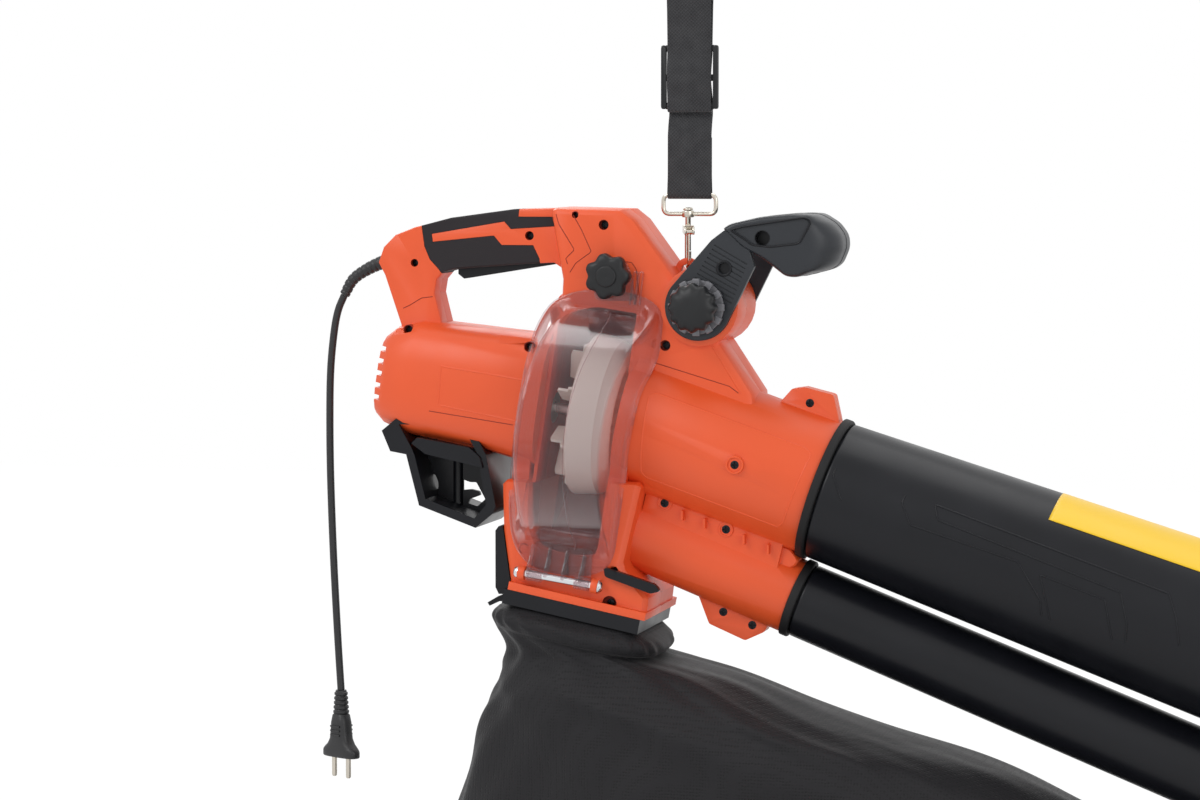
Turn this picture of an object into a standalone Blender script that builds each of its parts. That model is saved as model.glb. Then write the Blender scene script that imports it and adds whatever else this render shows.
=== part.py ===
"""Electric leaf blower and garden vac, in its working pose on a shoulder strap.

Metres, +Z up, +X towards the nozzles. The seam of the two housing halves lies on Y = 0 and the
side with the clear fan cover faces -Y. The origin is the eye that the shoulder strap clips into.
"""

import math

import bmesh
import bpy
from mathutils import Matrix, Vector

MM = 0.001

# Fits
GAP = 0.3 * MM                   # clearance between two pieces that touch
WALL = 3.0 * MM                  # moulded housing wall
ROUND_SIDES = 28                 # sides of a large round
SMALL_SIDES = 16                 # sides of a small round

# Motor axis, shared by the motor, the fan and the scroll around the fan
AXIS_TILT = 8.5                  # degrees, nose down
FAN_CENTRE = Vector((-84.0, 0.0, -131.0)) * MM
FAN_RADIUS = 72.0 * MM
FAN_DEPTH = 44.0 * MM
FAN_BLADES = 8
SCROLL_OFFSET = Vector((-4.0, 0.0, -13.0)) * MM
SCROLL_RADIUS = 120.0 * MM
SCROLL_WIDTH = 76.0 * MM
INLET_RADIUS = 50.0 * MM

# Motor body
MOTOR_REAR = -199.0 * MM
MOTOR_HALF_WIDTH = 50.0 * MM
MOTOR_TOP = 61.0 * MM
MOTOR_BOTTOM = 45.0 * MM
VENT_PITCH = 11.0 * MM
VENT_COUNT = 5
VENT_HEIGHT = 4.6 * MM
VENT_DEPTH = 15.0 * MM

# Suction outlet of the housing and its tube
SUCTION_TILT = 18.8
SUCTION_MOUTH = Vector((122.0, 0.0, -192.0)) * MM
SUCTION_RADIUS = 62.0 * MM
SUCTION_LENGTH = 188.0 * MM

# Blow outlet of the housing and its tube
BLOW_TILT = 21.3
BLOW_MOUTH = Vector((98.0, 0.0, -290.0)) * MM
BLOW_RADIUS = 34.5 * MM
BLOW_LENGTH = 160.0 * MM

# Rear handle
HANDLE_HALF = 19.0 * MM
HANDLE_ROUND = 9.0 * MM
HANDLE_STEPS = 2
GRIP_THICKNESS = 2.6 * MM
NECK_HALF = 34.0 * MM
NECK_ROUND = 7.0 * MM
DUCT_HALF = 53.0 * MM


def metres(*points):
    """Outline points given in millimetres."""
    return [(x * MM, z * MM) for x, z in points]


def tilted(origin, degrees):
    """A frame at origin whose X axis points forward and down by degrees."""
    return Matrix.Translation(origin) @ Matrix.Rotation(math.radians(degrees), 4, "Y")


MOTOR = tilted(FAN_CENTRE, AXIS_TILT)
SCROLL = MOTOR @ Matrix.Translation(SCROLL_OFFSET)
SUCTION = tilted(SUCTION_MOUTH, SUCTION_TILT)
BLOW = tilted(BLOW_MOUTH, BLOW_TILT)

for old in list(bpy.data.objects):
    bpy.data.objects.remove(old, do_unlink=True)

PARTS = bpy.data.collections.new("leaf_blower")
CUTTERS = bpy.data.collections.new("cutters")
bpy.context.scene.collection.children.link(PARTS)
bpy.context.scene.collection.children.link(CUTTERS)


def add(name, mesh, frame=Matrix()):
    """Puts a mesh in the parts collection under a name and a frame."""
    obj = bpy.data.objects.new(name, mesh)
    obj.matrix_world = frame
    PARTS.objects.link(obj)
    return obj


def as_tool(obj):
    """Makes an object a cutter or a guide."""
    if obj.name in PARTS.objects:
        PARTS.objects.unlink(obj)
        CUTTERS.objects.link(obj)
    obj.hide_render = True
    obj.display_type = "WIRE"
    return obj


def from_bmesh(name, bm, frame=Matrix()):
    mesh = bpy.data.meshes.new(name)
    bm.to_mesh(mesh)
    bm.free()
    return add(name, mesh, frame)


def box(name, low, high, frame=Matrix()):
    """A box between two corners of a frame, in metres."""
    bm = bmesh.new()
    bmesh.ops.create_cube(bm, size=1.0)
    low, high = Vector(low), Vector(high)
    size = high - low
    bmesh.ops.scale(bm, vec=size, verts=bm.verts)
    bmesh.ops.translate(bm, vec=(low + high) / 2, verts=bm.verts)
    return from_bmesh(name, bm, frame)


def cylinder(name, radius, start, end, frame=Matrix(), end_radius=None, sides=ROUND_SIDES, along="X"):
    """A cylinder or cone between two stations along one axis of a frame."""
    bm = bmesh.new()
    last = radius if end_radius is None else end_radius
    bmesh.ops.create_cone(bm, cap_ends=True, segments=sides, radius1=radius, radius2=last,
                          depth=end - start)
    bmesh.ops.translate(bm, vec=(0, 0, (start + end) / 2), verts=bm.verts)
    if along == "X":
        bmesh.ops.rotate(bm, cent=(0, 0, 0), matrix=Matrix.Rotation(math.pi / 2, 3, "Y"),
                         verts=bm.verts)
    if along == "Y":
        bmesh.ops.rotate(bm, cent=(0, 0, 0), matrix=Matrix.Rotation(-math.pi / 2, 3, "X"),
                         verts=bm.verts)
    return from_bmesh(name, bm, frame)


def turned(name, profile, frame=Matrix(), sides=ROUND_SIDES, closed=False):
    """Turns a profile of (radius, station) points round a frame's X axis.

    The profile runs down its outer side, from the highest station to the lowest.
    """
    mesh = bpy.data.meshes.new(name)
    count = len(profile)
    edges = [(i, i + 1) for i in range(count - 1)]
    if closed:
        edges.append((count - 1, 0))
    mesh.from_pydata([(r, 0.0, s) for r, s in profile], edges, [])
    obj = add(name, mesh, frame @ Matrix.Rotation(math.pi / 2, 4, "Y"))
    screw = obj.modifiers.new("turn", "SCREW")
    screw.axis = "Z"
    screw.steps = sides
    screw.render_steps = sides
    screw.use_merge_vertices = True
    screw.merge_threshold = 0.00005
    screw.use_smooth_shade = False
    return obj


def baked(obj):
    """Replaces an object by the mesh that its modifiers or its curve give, with loose caps welded."""
    bpy.context.view_layer.update()
    graph = bpy.context.evaluated_depsgraph_get()
    mesh = bpy.data.meshes.new_from_object(obj.evaluated_get(graph))
    bm = bmesh.new()
    bm.from_mesh(mesh)
    bmesh.ops.remove_doubles(bm, verts=bm.verts, dist=0.00001)
    bmesh.ops.holes_fill(bm, edges=[edge for edge in bm.edges if edge.is_boundary], sides=6)
    bm.to_mesh(mesh)
    bm.free()
    name, frame = obj.name, obj.matrix_world.copy()
    bpy.data.objects.remove(obj, do_unlink=True)
    return add(name, mesh, frame)


def rounded(points, radius, steps=3):
    """An outline with every corner turned into an arc of the given radius, or less where it is short."""
    result = []
    count = len(points)
    for i in range(count):
        before = Vector(points[i - 1])
        here = Vector(points[i])
        after = Vector(points[(i + 1) % count])
        to_before = (before - here).normalized()
        to_after = (after - here).normalized()
        angle = to_before.angle(to_after)
        reach = radius / math.tan(angle / 2)
        reach = min(reach, (before - here).length * 0.45, (after - here).length * 0.45)
        if angle > math.radians(172):
            result.append(tuple(here))
            continue
        start = here + to_before * reach
        end = here + to_after * reach
        for k in range(steps + 1):
            t = k / steps
            point = start * (1 - t) ** 2 + here * 2 * t * (1 - t) + end * t ** 2
            result.append(tuple(point))
    return result


def inset(points, distance):
    """An outline moved inwards by a distance, with mitred corners."""
    count = len(points)
    area = sum(points[i - 1][0] * points[i][1] - points[i][0] * points[i - 1][1] for i in range(count))
    side = 1.0 if area > 0 else -1.0
    result = []
    for i in range(count):
        here = Vector(points[i])
        first = (here - Vector(points[i - 1])).normalized()
        second = (Vector(points[(i + 1) % count]) - here).normalized()
        normal_1 = Vector((-first.y, first.x)) * side
        normal_2 = Vector((-second.y, second.x)) * side
        miter = (normal_1 + normal_2).normalized()
        result.append(tuple(here + miter * distance / max(0.35, miter.dot(normal_1))))
    return result


def plate(name, outline, low, high, frame=Matrix(), edge=0.0, segments=2, holes=()):
    """A flat outline in a frame's XZ plane, thick from low to high along Y, edges rounded by edge."""
    curve = bpy.data.curves.new(name, "CURVE")
    curve.dimensions = "2D"
    curve.fill_mode = "BOTH"
    curve.extrude = (high - low) / 2
    for loop in (outline, *holes):
        spline = curve.splines.new("POLY")
        spline.points.add(len(loop) - 1)
        for point, (x, z) in zip(spline.points, loop):
            point.co = (x, z, 0.0, 1.0)
        spline.use_cyclic_u = True
    stand = Matrix.Translation((0, (low + high) / 2, 0)) @ Matrix.Rotation(math.pi / 2, 4, "X")
    obj = bpy.data.objects.new(name, curve)
    PARTS.objects.link(obj)
    obj = baked(obj)
    obj.data.transform(stand)
    obj.matrix_world = frame
    if edge:
        bevel = obj.modifiers.new("edge", "BEVEL")
        bevel.width = edge
        bevel.segments = segments
        bevel.limit_method = "ANGLE"
        bevel.angle_limit = math.radians(50)
    return obj


def loft(name, rings, frame=Matrix()):
    """A closed solid through rings of equal point counts, each a list of (x, y, z)."""
    bm = bmesh.new()
    layers = [[bm.verts.new(p) for p in ring] for ring in rings]
    count = len(layers[0])
    for lower, upper in zip(layers, layers[1:]):
        for i in range(count):
            j = (i + 1) % count
            bm.faces.new((lower[i], lower[j], upper[j], upper[i]))
    bm.faces.new(layers[0])
    bm.faces.new(layers[-1])
    bmesh.ops.recalc_face_normals(bm, faces=bm.faces)
    return from_bmesh(name, bm, frame)


def superellipse(half_u, half_v, power, count):
    """Points round a superellipse of the given half sizes."""
    points = []
    for i in range(count):
        a = 2 * math.pi * (i + 0.5) / count
        c, s = math.cos(a), math.sin(a)
        points.append((half_u * math.copysign(abs(c) ** (2 / power), c),
                       half_v * math.copysign(abs(s) ** (2 / power), s)))
    return points


def boolean(obj, tool, operation):
    modifier = obj.modifiers.new(operation.lower(), "BOOLEAN")
    modifier.operation = operation
    modifier.solver = "EXACT"
    modifier.object = as_tool(tool)
    return obj


def cut(obj, *tools):
    for tool in tools:
        boolean(obj, tool, "DIFFERENCE")
    return obj


def join(obj, *tools):
    for tool in tools:
        boolean(obj, tool, "UNION")
    return obj


def keep(obj, tool):
    return boolean(obj, tool, "INTERSECT")


def copy_of(obj, name):
    """A separate copy of an object with its modifiers."""
    twin = obj.copy()
    twin.data = obj.data.copy()
    twin.name = name
    PARTS.objects.link(twin)
    return twin


def paint(obj, material, colour, roughness, metallic=0.0, alpha=1.0):
    """Gives an object its own material."""
    mat = bpy.data.materials.new(f"{obj.name}_{material}")
    mat.use_nodes = True
    shader = mat.node_tree.nodes["Principled BSDF"]
    shader.inputs["Base Color"].default_value = (*colour, 1.0)
    shader.inputs["Roughness"].default_value = roughness
    shader.inputs["Metallic"].default_value = metallic
    shader.inputs["Alpha"].default_value = alpha
    obj.data.materials.clear()
    obj.data.materials.append(mat)
    return obj


ORANGE = (0.80, 0.09, 0.02)
BLACK = (0.015, 0.016, 0.018)
STEEL = (0.60, 0.60, 0.58)


# Housing outlines, in the middle plane

HANDLE_OUTLINE = metres(
    (-278, -6), (-284, 5), (-279, 19), (-268, 30), (-250, 37), (-215, 46), (-156, 54), (-100, 55.5),
    (-60, 54),
    (-40, 20), (-40, -75), (-116, -75), (-116, -46), (-108, -26), (-107, -10), (-111, 1), (-119, 6.2),
    (-150, 4.5),
    (-214, -0.5), (-223, -3), (-229, -10), (-231, -22), (-224, -50), (-216, -75), (-256, -75),
    (-263, -50))
NECK_OUTLINE = metres(
    (-119.5, 56), (-53, 54.4), (-41, 45), (-11, 4.4), (37.7, -64), (67, -108), (70, -150), (-40, -150),
    (-112, -90), (-117, -46), (-109, -26), (-108, -8))
GRIP_OUTLINE = metres(
    (-247, 70), (-149.6, 70), (-152, 47), (-118.7, 47), (-116, 39), (-159, 36.3), (-165, 43),
    (-233.3, 31.4),
    (-232.4, 24), (-175, 29.9), (-167.7, 21.5), (-138.4, 21.5), (-132.6, 9.9), (-130, -12), (-218, -12),
    (-227, -0.2), (-235, 8.4), (-240, 20))
DUCT_OUTLINE = metres((-158, -187), (-157, -232), (-150, -283), (-26, -306), (-24, -290), (-48, -262),
                      (-30, -187))
DUCT_HOLLOW = metres((-150, -190), (-153, -232), (-146, -300), (-52, -320), (-51, -262), (-38, -204),
                     (-62, -192))
UPPER_TAB = rounded(metres((78, -125), (97, -104), (108, -102.5), (134, -109), (140, -136),
                           (120, -160)), 3 * MM, 2)
LOWER_TAB = rounded(metres((10, -285), (22, -316), (55, -330), (72, -322), (86, -300), (40, -270)),
                    4 * MM, 2)
PIVOT = Vector((19.0, 0.0, -31.0)) * MM
BOSS_RADIUS = 35.0 * MM
BOSS_HALF = 38.0 * MM
BOLT_RADIUS = 4.0 * MM
EAR_RADIUS = 11.0 * MM
EAR_HALF = 3.0 * MM
EAR_HOLE = 5.6 * MM
HANDLE_WALL = WALL + GRIP_THICKNESS
RIM = NECK_HALF - 0.5 * MM       # the scroll is open beyond this distance, for the clear cover

# Outlet flange, bag collar and bag
FLANGE_TILT = 11.0
FLANGE_CENTRE = Vector((-88.0, 0.0, -296.5)) * MM
FLANGE_HALF_LENGTH = 64.0 * MM
FLANGE_HALF_WIDTH = 60.0 * MM
FLANGE_THICKNESS = 7.0 * MM
COLLAR_DEPTH = 13.0 * MM
COLLAR_NECK = 34.0 * MM
FLANGE = tilted(FLANGE_CENTRE, FLANGE_TILT)

# Motor pieces, by station along the motor axis
SHAFT_RADIUS = 5.0 * MM
REAR_BEARING = (-182.0 * MM, -175.0 * MM, 11.0 * MM)
STATOR = (-150.0 * MM, -94.0 * MM, 40.0 * MM, 26.5 * MM)
ARMATURE_RADIUS = 25.8 * MM
COMMUTATOR = (-170.0 * MM, -154.0 * MM, 13.0 * MM)
COOLING_FAN = (-86.0 * MM, -72.0 * MM, 38.0 * MM)
COOLING_BLADES = 7
MOTOR_WALL = (-46.0 * MM, -39.0 * MM)
FRONT_BEARING_RADIUS = 14.0 * MM

# Trigger and switch
TRIGGER_OUTLINE = metres(
    (-211.5, -5), (-206, -9.3), (-114, 5.6), (-112, 10), (-115, 14.5), (-150, 14), (-205, 6),
    (-211.5, 2))
TRIGGER_HALF = 8.4 * MM
TRIGGER_PIVOT = Vector((-119.0, 0.0, 10.0)) * MM
TRIGGER_PIN = 2.0 * MM
TRIGGER_PIN_HALF = 13.0 * MM
SWITCH_LOW = Vector((-176.0, -11.0, 22.0)) * MM
SWITCH_HIGH = Vector((-138.0, 11.0, 40.0)) * MM

# Cord, its bent sleeve and its plug
SLEEVE_ROUTE = [Vector(p) * MM for p in ((-266, 0, 11), (-285, 0, 5), (-300, 0, -1.5), (-314, 0, -11),
                                         (-322.5, 0, -25))]
SLEEVE_RADIUS = 7.0 * MM
SLEEVE_TIP = 4.8 * MM
CORD_RADIUS = 3.4 * MM
CORD_POINTS = metres((-322.95, -25.8), (-329, -40), (-333, -60), (-336.5, -95), (-337.5, -141),
                     (-337, -196),
                     (-334.5, -270), (-331, -340), (-328, -390))
CORD_STEP = 24.0 * MM
PLUG = Matrix.Translation(Vector((-328.0, 0.0, -390.3)) * MM) @ Matrix.Rotation(math.radians(-29), 4,
                                                                                "Z")
PIN_SPACING = 19.0 * MM
PIN_RADIUS = 2.4 * MM
PIN_LENGTH = 19.0 * MM

# Diverter flap between the bag outlet and the blow outlet
FLAP_PIVOT = Vector((-55.0, 0.0, -266.0)) * MM
FLAP_LENGTH = 54.0 * MM
FLAP_HALF = 46.0 * MM
FLAP_SHAFT = 4.0 * MM

# Clear cover
COVER_WALL = 2.5 * MM
HINGE = SCROLL @ Matrix.Translation((6 * MM, -DUCT_HALF - 9 * MM, -131 * MM))
HINGE_PIN = 3.5 * MM
KNOB_PLACE = Vector((-61.0, 0.0, -4.5)) * MM
KNOB_BOLT = 2.6 * MM
TAB_THICKNESS = 4.0 * MM

EAR_STATION = 31.0 * MM
EAR_WIDTH = 6.0 * MM

# Black screws that show
SCREW_HEAD = 3.6 * MM
SCREW_HEAD_DEPTH = 2.4 * MM
SCREW_PROUD = 0.4 * MM
SCREW_SHANK = 1.9 * MM
SCREW_LENGTH = 12.0 * MM
WEB_OUTLINE = metres((-30, -190), (-40, -235), (85, -272), (95, -230))
WEB_HALF = 26.0 * MM
TAB_HALF = 9.0 * MM
SUCTION_SCREW = (57.0 * MM, -168.0 * MM)
SCREWS = {
    "screw_upper_tab": (113 * MM, -116.5 * MM, TAB_HALF),
    "screw_suction": (*SUCTION_SCREW, SUCTION_RADIUS + 2 * MM),
    "screw_web_rear": (-15 * MM, -207 * MM, WEB_HALF),
    "screw_web_front": (41 * MM, -229 * MM, WEB_HALF),
    "screw_lower_tab_rear": (35 * MM, -305 * MM, TAB_HALF),
    "screw_lower_tab_front": (61.5 * MM, -316 * MM, TAB_HALF),
}


def motor_rings(grow, last=-36 * MM):
    """Rings of the motor body along its axis: station, half width, top and bottom, all grown."""
    stations = ((MOTOR_REAR, 0.76, 0.70, 0.72), (MOTOR_REAR + 10 * MM, 0.92, 0.86, 0.88),
                (MOTOR_REAR + 32 * MM, 1.0, 0.99, 1.0), (-90 * MM, 1.05, 1.04, 1.06),
                (last, 1.1, 1.09, 1.2))
    rings = []
    for station, wide, high, low in stations:
        top = MOTOR_TOP * high + grow
        bottom = MOTOR_BOTTOM * low + grow
        half = MOTOR_HALF_WIDTH * wide + grow
        middle = (top - bottom) / 2
        shift = -grow if station == MOTOR_REAR else 0.0
        rings.append([(station + shift, y, middle + v)
                      for y, v in superellipse(half, (top + bottom) / 2, 3.2, 20)])
    return rings


def scroll_form(name, grow):
    half = SCROLL_WIDTH / 2 + grow
    return cylinder(name, SCROLL_RADIUS + grow, -half, half, SCROLL, sides=40)


def suction_form(name, radius, start, end):
    return cylinder(name, radius, start, end, SUCTION, sides=32)


def housing_outer():
    """The whole outer form of both housing halves, as one solid."""
    body = loft("housing_form", motor_rings(0.0), MOTOR)
    scroll = scroll_form("form_scroll", 0.0)
    handle = plate("form_handle", HANDLE_OUTLINE, -HANDLE_HALF, HANDLE_HALF, edge=HANDLE_ROUND,
                   segments=HANDLE_STEPS)
    neck = plate("form_neck", NECK_OUTLINE, -NECK_HALF, NECK_HALF, edge=NECK_ROUND, segments=2)
    suction = suction_form("form_suction", SUCTION_RADIUS, -SUCTION_LENGTH, 0)
    blow = cylinder("form_blow", BLOW_RADIUS, -BLOW_LENGTH, 0, BLOW, sides=16)
    duct = plate("form_duct", DUCT_OUTLINE, -DUCT_HALF, DUCT_HALF, edge=4 * MM, segments=1)
    flange = box("form_flange", (-FLANGE_HALF_LENGTH, -FLANGE_HALF_WIDTH, 0),
                 (FLANGE_HALF_LENGTH, FLANGE_HALF_WIDTH, FLANGE_THICKNESS), FLANGE)
    boss = cylinder("form_boss", BOSS_RADIUS, -BOSS_HALF, BOSS_HALF, Matrix.Translation(PIVOT),
                    along="Y")
    upper = plate("form_upper_tab", UPPER_TAB, -TAB_HALF, TAB_HALF)
    lower = plate("form_lower_tab", LOWER_TAB, -TAB_HALF, TAB_HALF)
    ear = cylinder("form_ear", EAR_RADIUS, -EAR_HALF, EAR_HALF, along="Y", sides=24)
    web = plate("form_web", WEB_OUTLINE, -WEB_HALF, WEB_HALF)
    x, z = SUCTION_SCREW
    screw_boss = cylinder("form_screw_boss", 7.5 * MM, -SUCTION_RADIUS - 2 * MM,
                          -SUCTION_RADIUS + 10 * MM,
                          Matrix.Translation((x, 0, z)), along="Y", sides=20)
    join(body, scroll, handle, neck, suction, blow, duct, flange, boss, upper, lower, ear, web,
         screw_boss)
    for i, station in enumerate((-EAR_STATION - EAR_WIDTH, EAR_STATION)):
        knuckle = cylinder(f"form_hinge_{i}", HINGE_PIN + 3 * MM, station, station + EAR_WIDTH, HINGE,
                           sides=20)
        arm = box(f"form_hinge_arm_{i}", (station + 0.5 * MM, 0, -5 * MM),
                  (station + EAR_WIDTH - 0.5 * MM, 14 * MM, 5 * MM), HINGE)
        join(body, knuckle, arm)
    return body


def grip_region(name, grow):
    """The zone of the rear handle that the soft grip takes, less the handle core inside it."""
    region = plate(name, inset(GRIP_OUTLINE, -grow), -30 * MM, 30 * MM)
    depth = GRIP_THICKNESS if grow else GRIP_THICKNESS - GAP
    core = plate(name + "_core", inset(HANDLE_OUTLINE, depth), -(HANDLE_HALF - depth),
                 HANDLE_HALF - depth,
                 edge=HANDLE_ROUND - depth, segments=HANDLE_STEPS)
    return cut(region, core)


def trigger_slot(name):
    half = TRIGGER_HALF + 2 * GAP
    return box(name, (-213 * MM, -half, -14 * MM), (-110 * MM, half, 12 * MM))


def housing_shell():
    """Both halves as one hollow body, with the ribs and seats that hold the inner pieces."""
    shell = housing_outer()
    keep_walls = ("wall_scroll", "wall_suction")
    handle_hollow = plate("hollow_handle", inset(HANDLE_OUTLINE, HANDLE_WALL),
                          -(HANDLE_HALF - HANDLE_WALL),
                          HANDLE_HALF - HANDLE_WALL, edge=2 * MM, segments=1)
    neck_hollow = plate("hollow_neck", inset(NECK_OUTLINE, WALL + 1 * MM), -(NECK_HALF - WALL),
                        NECK_HALF - WALL)
    for hollow in (handle_hollow, neck_hollow):
        cut(hollow, scroll_form(hollow.name + keep_walls[0], -0.4 * MM),
            suction_form(hollow.name + keep_walls[1], SUCTION_RADIUS - 0.4 * MM, -SUCTION_LENGTH, 0))
    cut(shell, loft("hollow_motor", motor_rings(-WALL, MOTOR_WALL[0]), MOTOR), handle_hollow,
        neck_hollow,
        turned("hollow_boss",
               [(BOSS_RADIUS - WALL, 35 * MM), (BOSS_RADIUS - WALL, -35 * MM), (9 * MM, -35 * MM),
                (9 * MM, 35 * MM)],
               Matrix.Translation(PIVOT) @ Matrix.Rotation(math.pi / 2, 4, "Z"), 20, closed=True))
    suction_bore = suction_form("bore_suction", SUCTION_RADIUS - WALL, -SUCTION_LENGTH - 60 * MM,
                                10 * MM)
    keep(suction_bore,
         box("beyond_scroll", (SCROLL_WIDTH / 2 + 3 * MM, -0.2, -0.3), (0.5, 0.2, 0.3), SCROLL))
    blow_bore = cylinder("bore_blow", BLOW_RADIUS - WALL, -128 * MM, 10 * MM, BLOW, sides=16)
    duct_bore = plate("bore_duct", DUCT_HOLLOW, -(DUCT_HALF - WALL), DUCT_HALF - WALL)
    cut(shell, scroll_form("hollow_scroll", -WALL), suction_bore, blow_bore, duct_bore,
        cylinder("bore_inlet", INLET_RADIUS, 20 * MM, 75 * MM, MOTOR, sides=28))
    inside = loft("rib_limit", motor_rings(-1 * MM, MOTOR_WALL[0]), MOTOR)
    ribs = box("rib_rear", (REAR_BEARING[0] - 3 * MM, -80 * MM, -80 * MM),
               (REAR_BEARING[1], 80 * MM, 80 * MM), MOTOR)
    join(ribs,
         box("rib_stator_rear", (STATOR[0] + 3 * MM, -80 * MM, -80 * MM),
             (STATOR[0] + 6 * MM, 80 * MM, 80 * MM), MOTOR),
         box("rib_stator_front", (STATOR[1] - 6 * MM, -80 * MM, -80 * MM),
             (STATOR[1] - 3 * MM, 80 * MM, 80 * MM), MOTOR))
    keep(ribs, inside)
    join(shell, ribs,
         box("rib_switch", (SWITCH_LOW.x, -14 * MM, SWITCH_HIGH.z + GAP),
             (SWITCH_LOW.x + 3 * MM, 14 * MM, 49 * MM)),
         box("rib_switch_front", (SWITCH_HIGH.x - 3 * MM, -14 * MM, SWITCH_HIGH.z + GAP),
             (SWITCH_HIGH.x, 14 * MM, 51 * MM)))
    cut(shell,
        cylinder("seat_rear_bearing", REAR_BEARING[2] + GAP, REAR_BEARING[0] - GAP, -100 * MM, MOTOR,
                 sides=16),
        cylinder("seat_shaft", SHAFT_RADIUS + 1 * MM, -192 * MM, -100 * MM, MOTOR, sides=16),
        cylinder("seat_stator", STATOR[2] + GAP, STATOR[0] - 1 * MM, STATOR[1] + 1 * MM, MOTOR,
                 sides=24),
        cylinder("seat_front_bearing", FRONT_BEARING_RADIUS + GAP, -60 * MM, -30 * MM, MOTOR, sides=20),
        cylinder("hole_bolt", BOLT_RADIUS + GAP, -50 * MM, 50 * MM, Matrix.Translation(PIVOT),
                 along="Y", sides=20),
        cylinder("hole_ear", EAR_HOLE, -10 * MM, 10 * MM, along="Y", sides=24),
        grip_region("cut_grip", GAP),
        trigger_slot("cut_trigger"),
        cylinder("hole_trigger_pin", TRIGGER_PIN + GAP, -TRIGGER_PIN_HALF - GAP, TRIGGER_PIN_HALF + GAP,
                 Matrix.Translation(TRIGGER_PIVOT), along="Y", sides=SMALL_SIDES),
        cylinder("hole_flap", FLAP_SHAFT + GAP, -80 * MM, 80 * MM, Matrix.Translation(FLAP_PIVOT),
                 along="Y", sides=20),
        cylinder("hole_hinge", HINGE_PIN + GAP, -60 * MM, 60 * MM, HINGE, sides=20),
        cylinder("hole_knob", KNOB_BOLT + 1.2 * MM, -NECK_HALF - 5 * MM, -NECK_HALF + 14 * MM,
                 Matrix.Translation(KNOB_PLACE), along="Y", sides=20),
        tube_along("hole_sleeve", SLEEVE_ROUTE[:2], SLEEVE_RADIUS + 2 * GAP, sides=3))
    for name, (x, z, face) in SCREWS.items():
        place = Matrix.Translation((x, 0, z))
        cut(shell,
            cylinder(name + "_seat", SCREW_HEAD + GAP, -face - 3 * MM,
                     -face + SCREW_HEAD_DEPTH - SCREW_PROUD + GAP, place,
                     along="Y", sides=12),
            cylinder(name + "_hole", SCREW_SHANK + GAP, -face, -face + SCREW_LENGTH + 2 * MM, place,
                     along="Y", sides=8))
    return shell


def about_y(point):
    """A frame at a point whose X axis points along world Y."""
    return Matrix.Translation(point) @ Matrix.Rotation(math.pi / 2, 4, "Z")


def smooth_route(points, step):
    """Points about a step apart on a smooth curve through the given (x, z) points, at Y = 0."""
    route = []
    last = len(points) - 1
    for i in range(last):
        p0, p1 = Vector(points[max(i - 1, 0)]), Vector(points[i])
        p2, p3 = Vector(points[i + 1]), Vector(points[min(i + 2, last)])
        count = max(1, round((p2 - p1).length / step))
        for k in range(count):
            t = k / count
            route.append(0.5 * (2 * p1 + (p2 - p0) * t + (2 * p0 - 5 * p1 + 4 * p2 - p3) * t ** 2
                                + (3 * p1 - p0 - 3 * p2 + p3) * t ** 3))
    route.append(Vector(points[-1]))
    return [Vector((p.x, 0.0, p.y)) for p in route]


def tube_along(name, route, radius, end_radius=None, sides=2, cyclic=False):
    """A round bar along a route, tapering to its end radius, with closed ends or joined into a loop."""
    curve = bpy.data.curves.new(name, "CURVE")
    curve.dimensions = "3D"
    curve.bevel_depth = radius
    curve.bevel_resolution = sides
    curve.use_fill_caps = not cyclic
    spline = curve.splines.new("POLY")
    spline.points.add(len(route) - 1)
    spline.use_cyclic_u = cyclic
    last = radius if end_radius is None else end_radius
    for i, (point, place) in enumerate(zip(spline.points, route)):
        point.co = (*place, 1.0)
        point.radius = 1.0 + (last / radius - 1.0) * i / (len(route) - 1)
    obj = bpy.data.objects.new(name, curve)
    PARTS.objects.link(obj)
    return baked(obj)


def vents():
    """Slots across the rear end of the motor body."""
    tools = []
    for i in range(VENT_COUNT):
        middle = 8 * MM + (i - (VENT_COUNT - 1) / 2) * VENT_PITCH
        tools.append(box(f"vent_{i}", (MOTOR_REAR - 9 * MM, -70 * MM, middle - VENT_HEIGHT / 2),
                         (MOTOR_REAR - 9 * MM + VENT_DEPTH, 70 * MM, middle + VENT_HEIGHT / 2), MOTOR))
    return tools


def housing():
    shell = housing_shell()
    cut(shell, *vents())
    shell = baked(shell)
    left = copy_of(shell, "housing_left")
    shell.name = "housing_right"
    far = box("half_right", (-0.5, -0.3, -0.6), (0.5, -GAP / 2, 0.3))
    keep(shell, far)
    keep(left, box("half_left", (-0.5, GAP / 2, -0.6), (0.5, 0.3, 0.3)))
    window = scroll_form("cut_window", GAP)
    keep(window, box("beyond_rim", (-0.4, -0.3, -0.5), (0.3, -RIM, 0.2)))
    cut(shell, window)
    paint(shell, "abs", ORANGE, 0.42)
    paint(left, "abs", ORANGE, 0.42)


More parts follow.
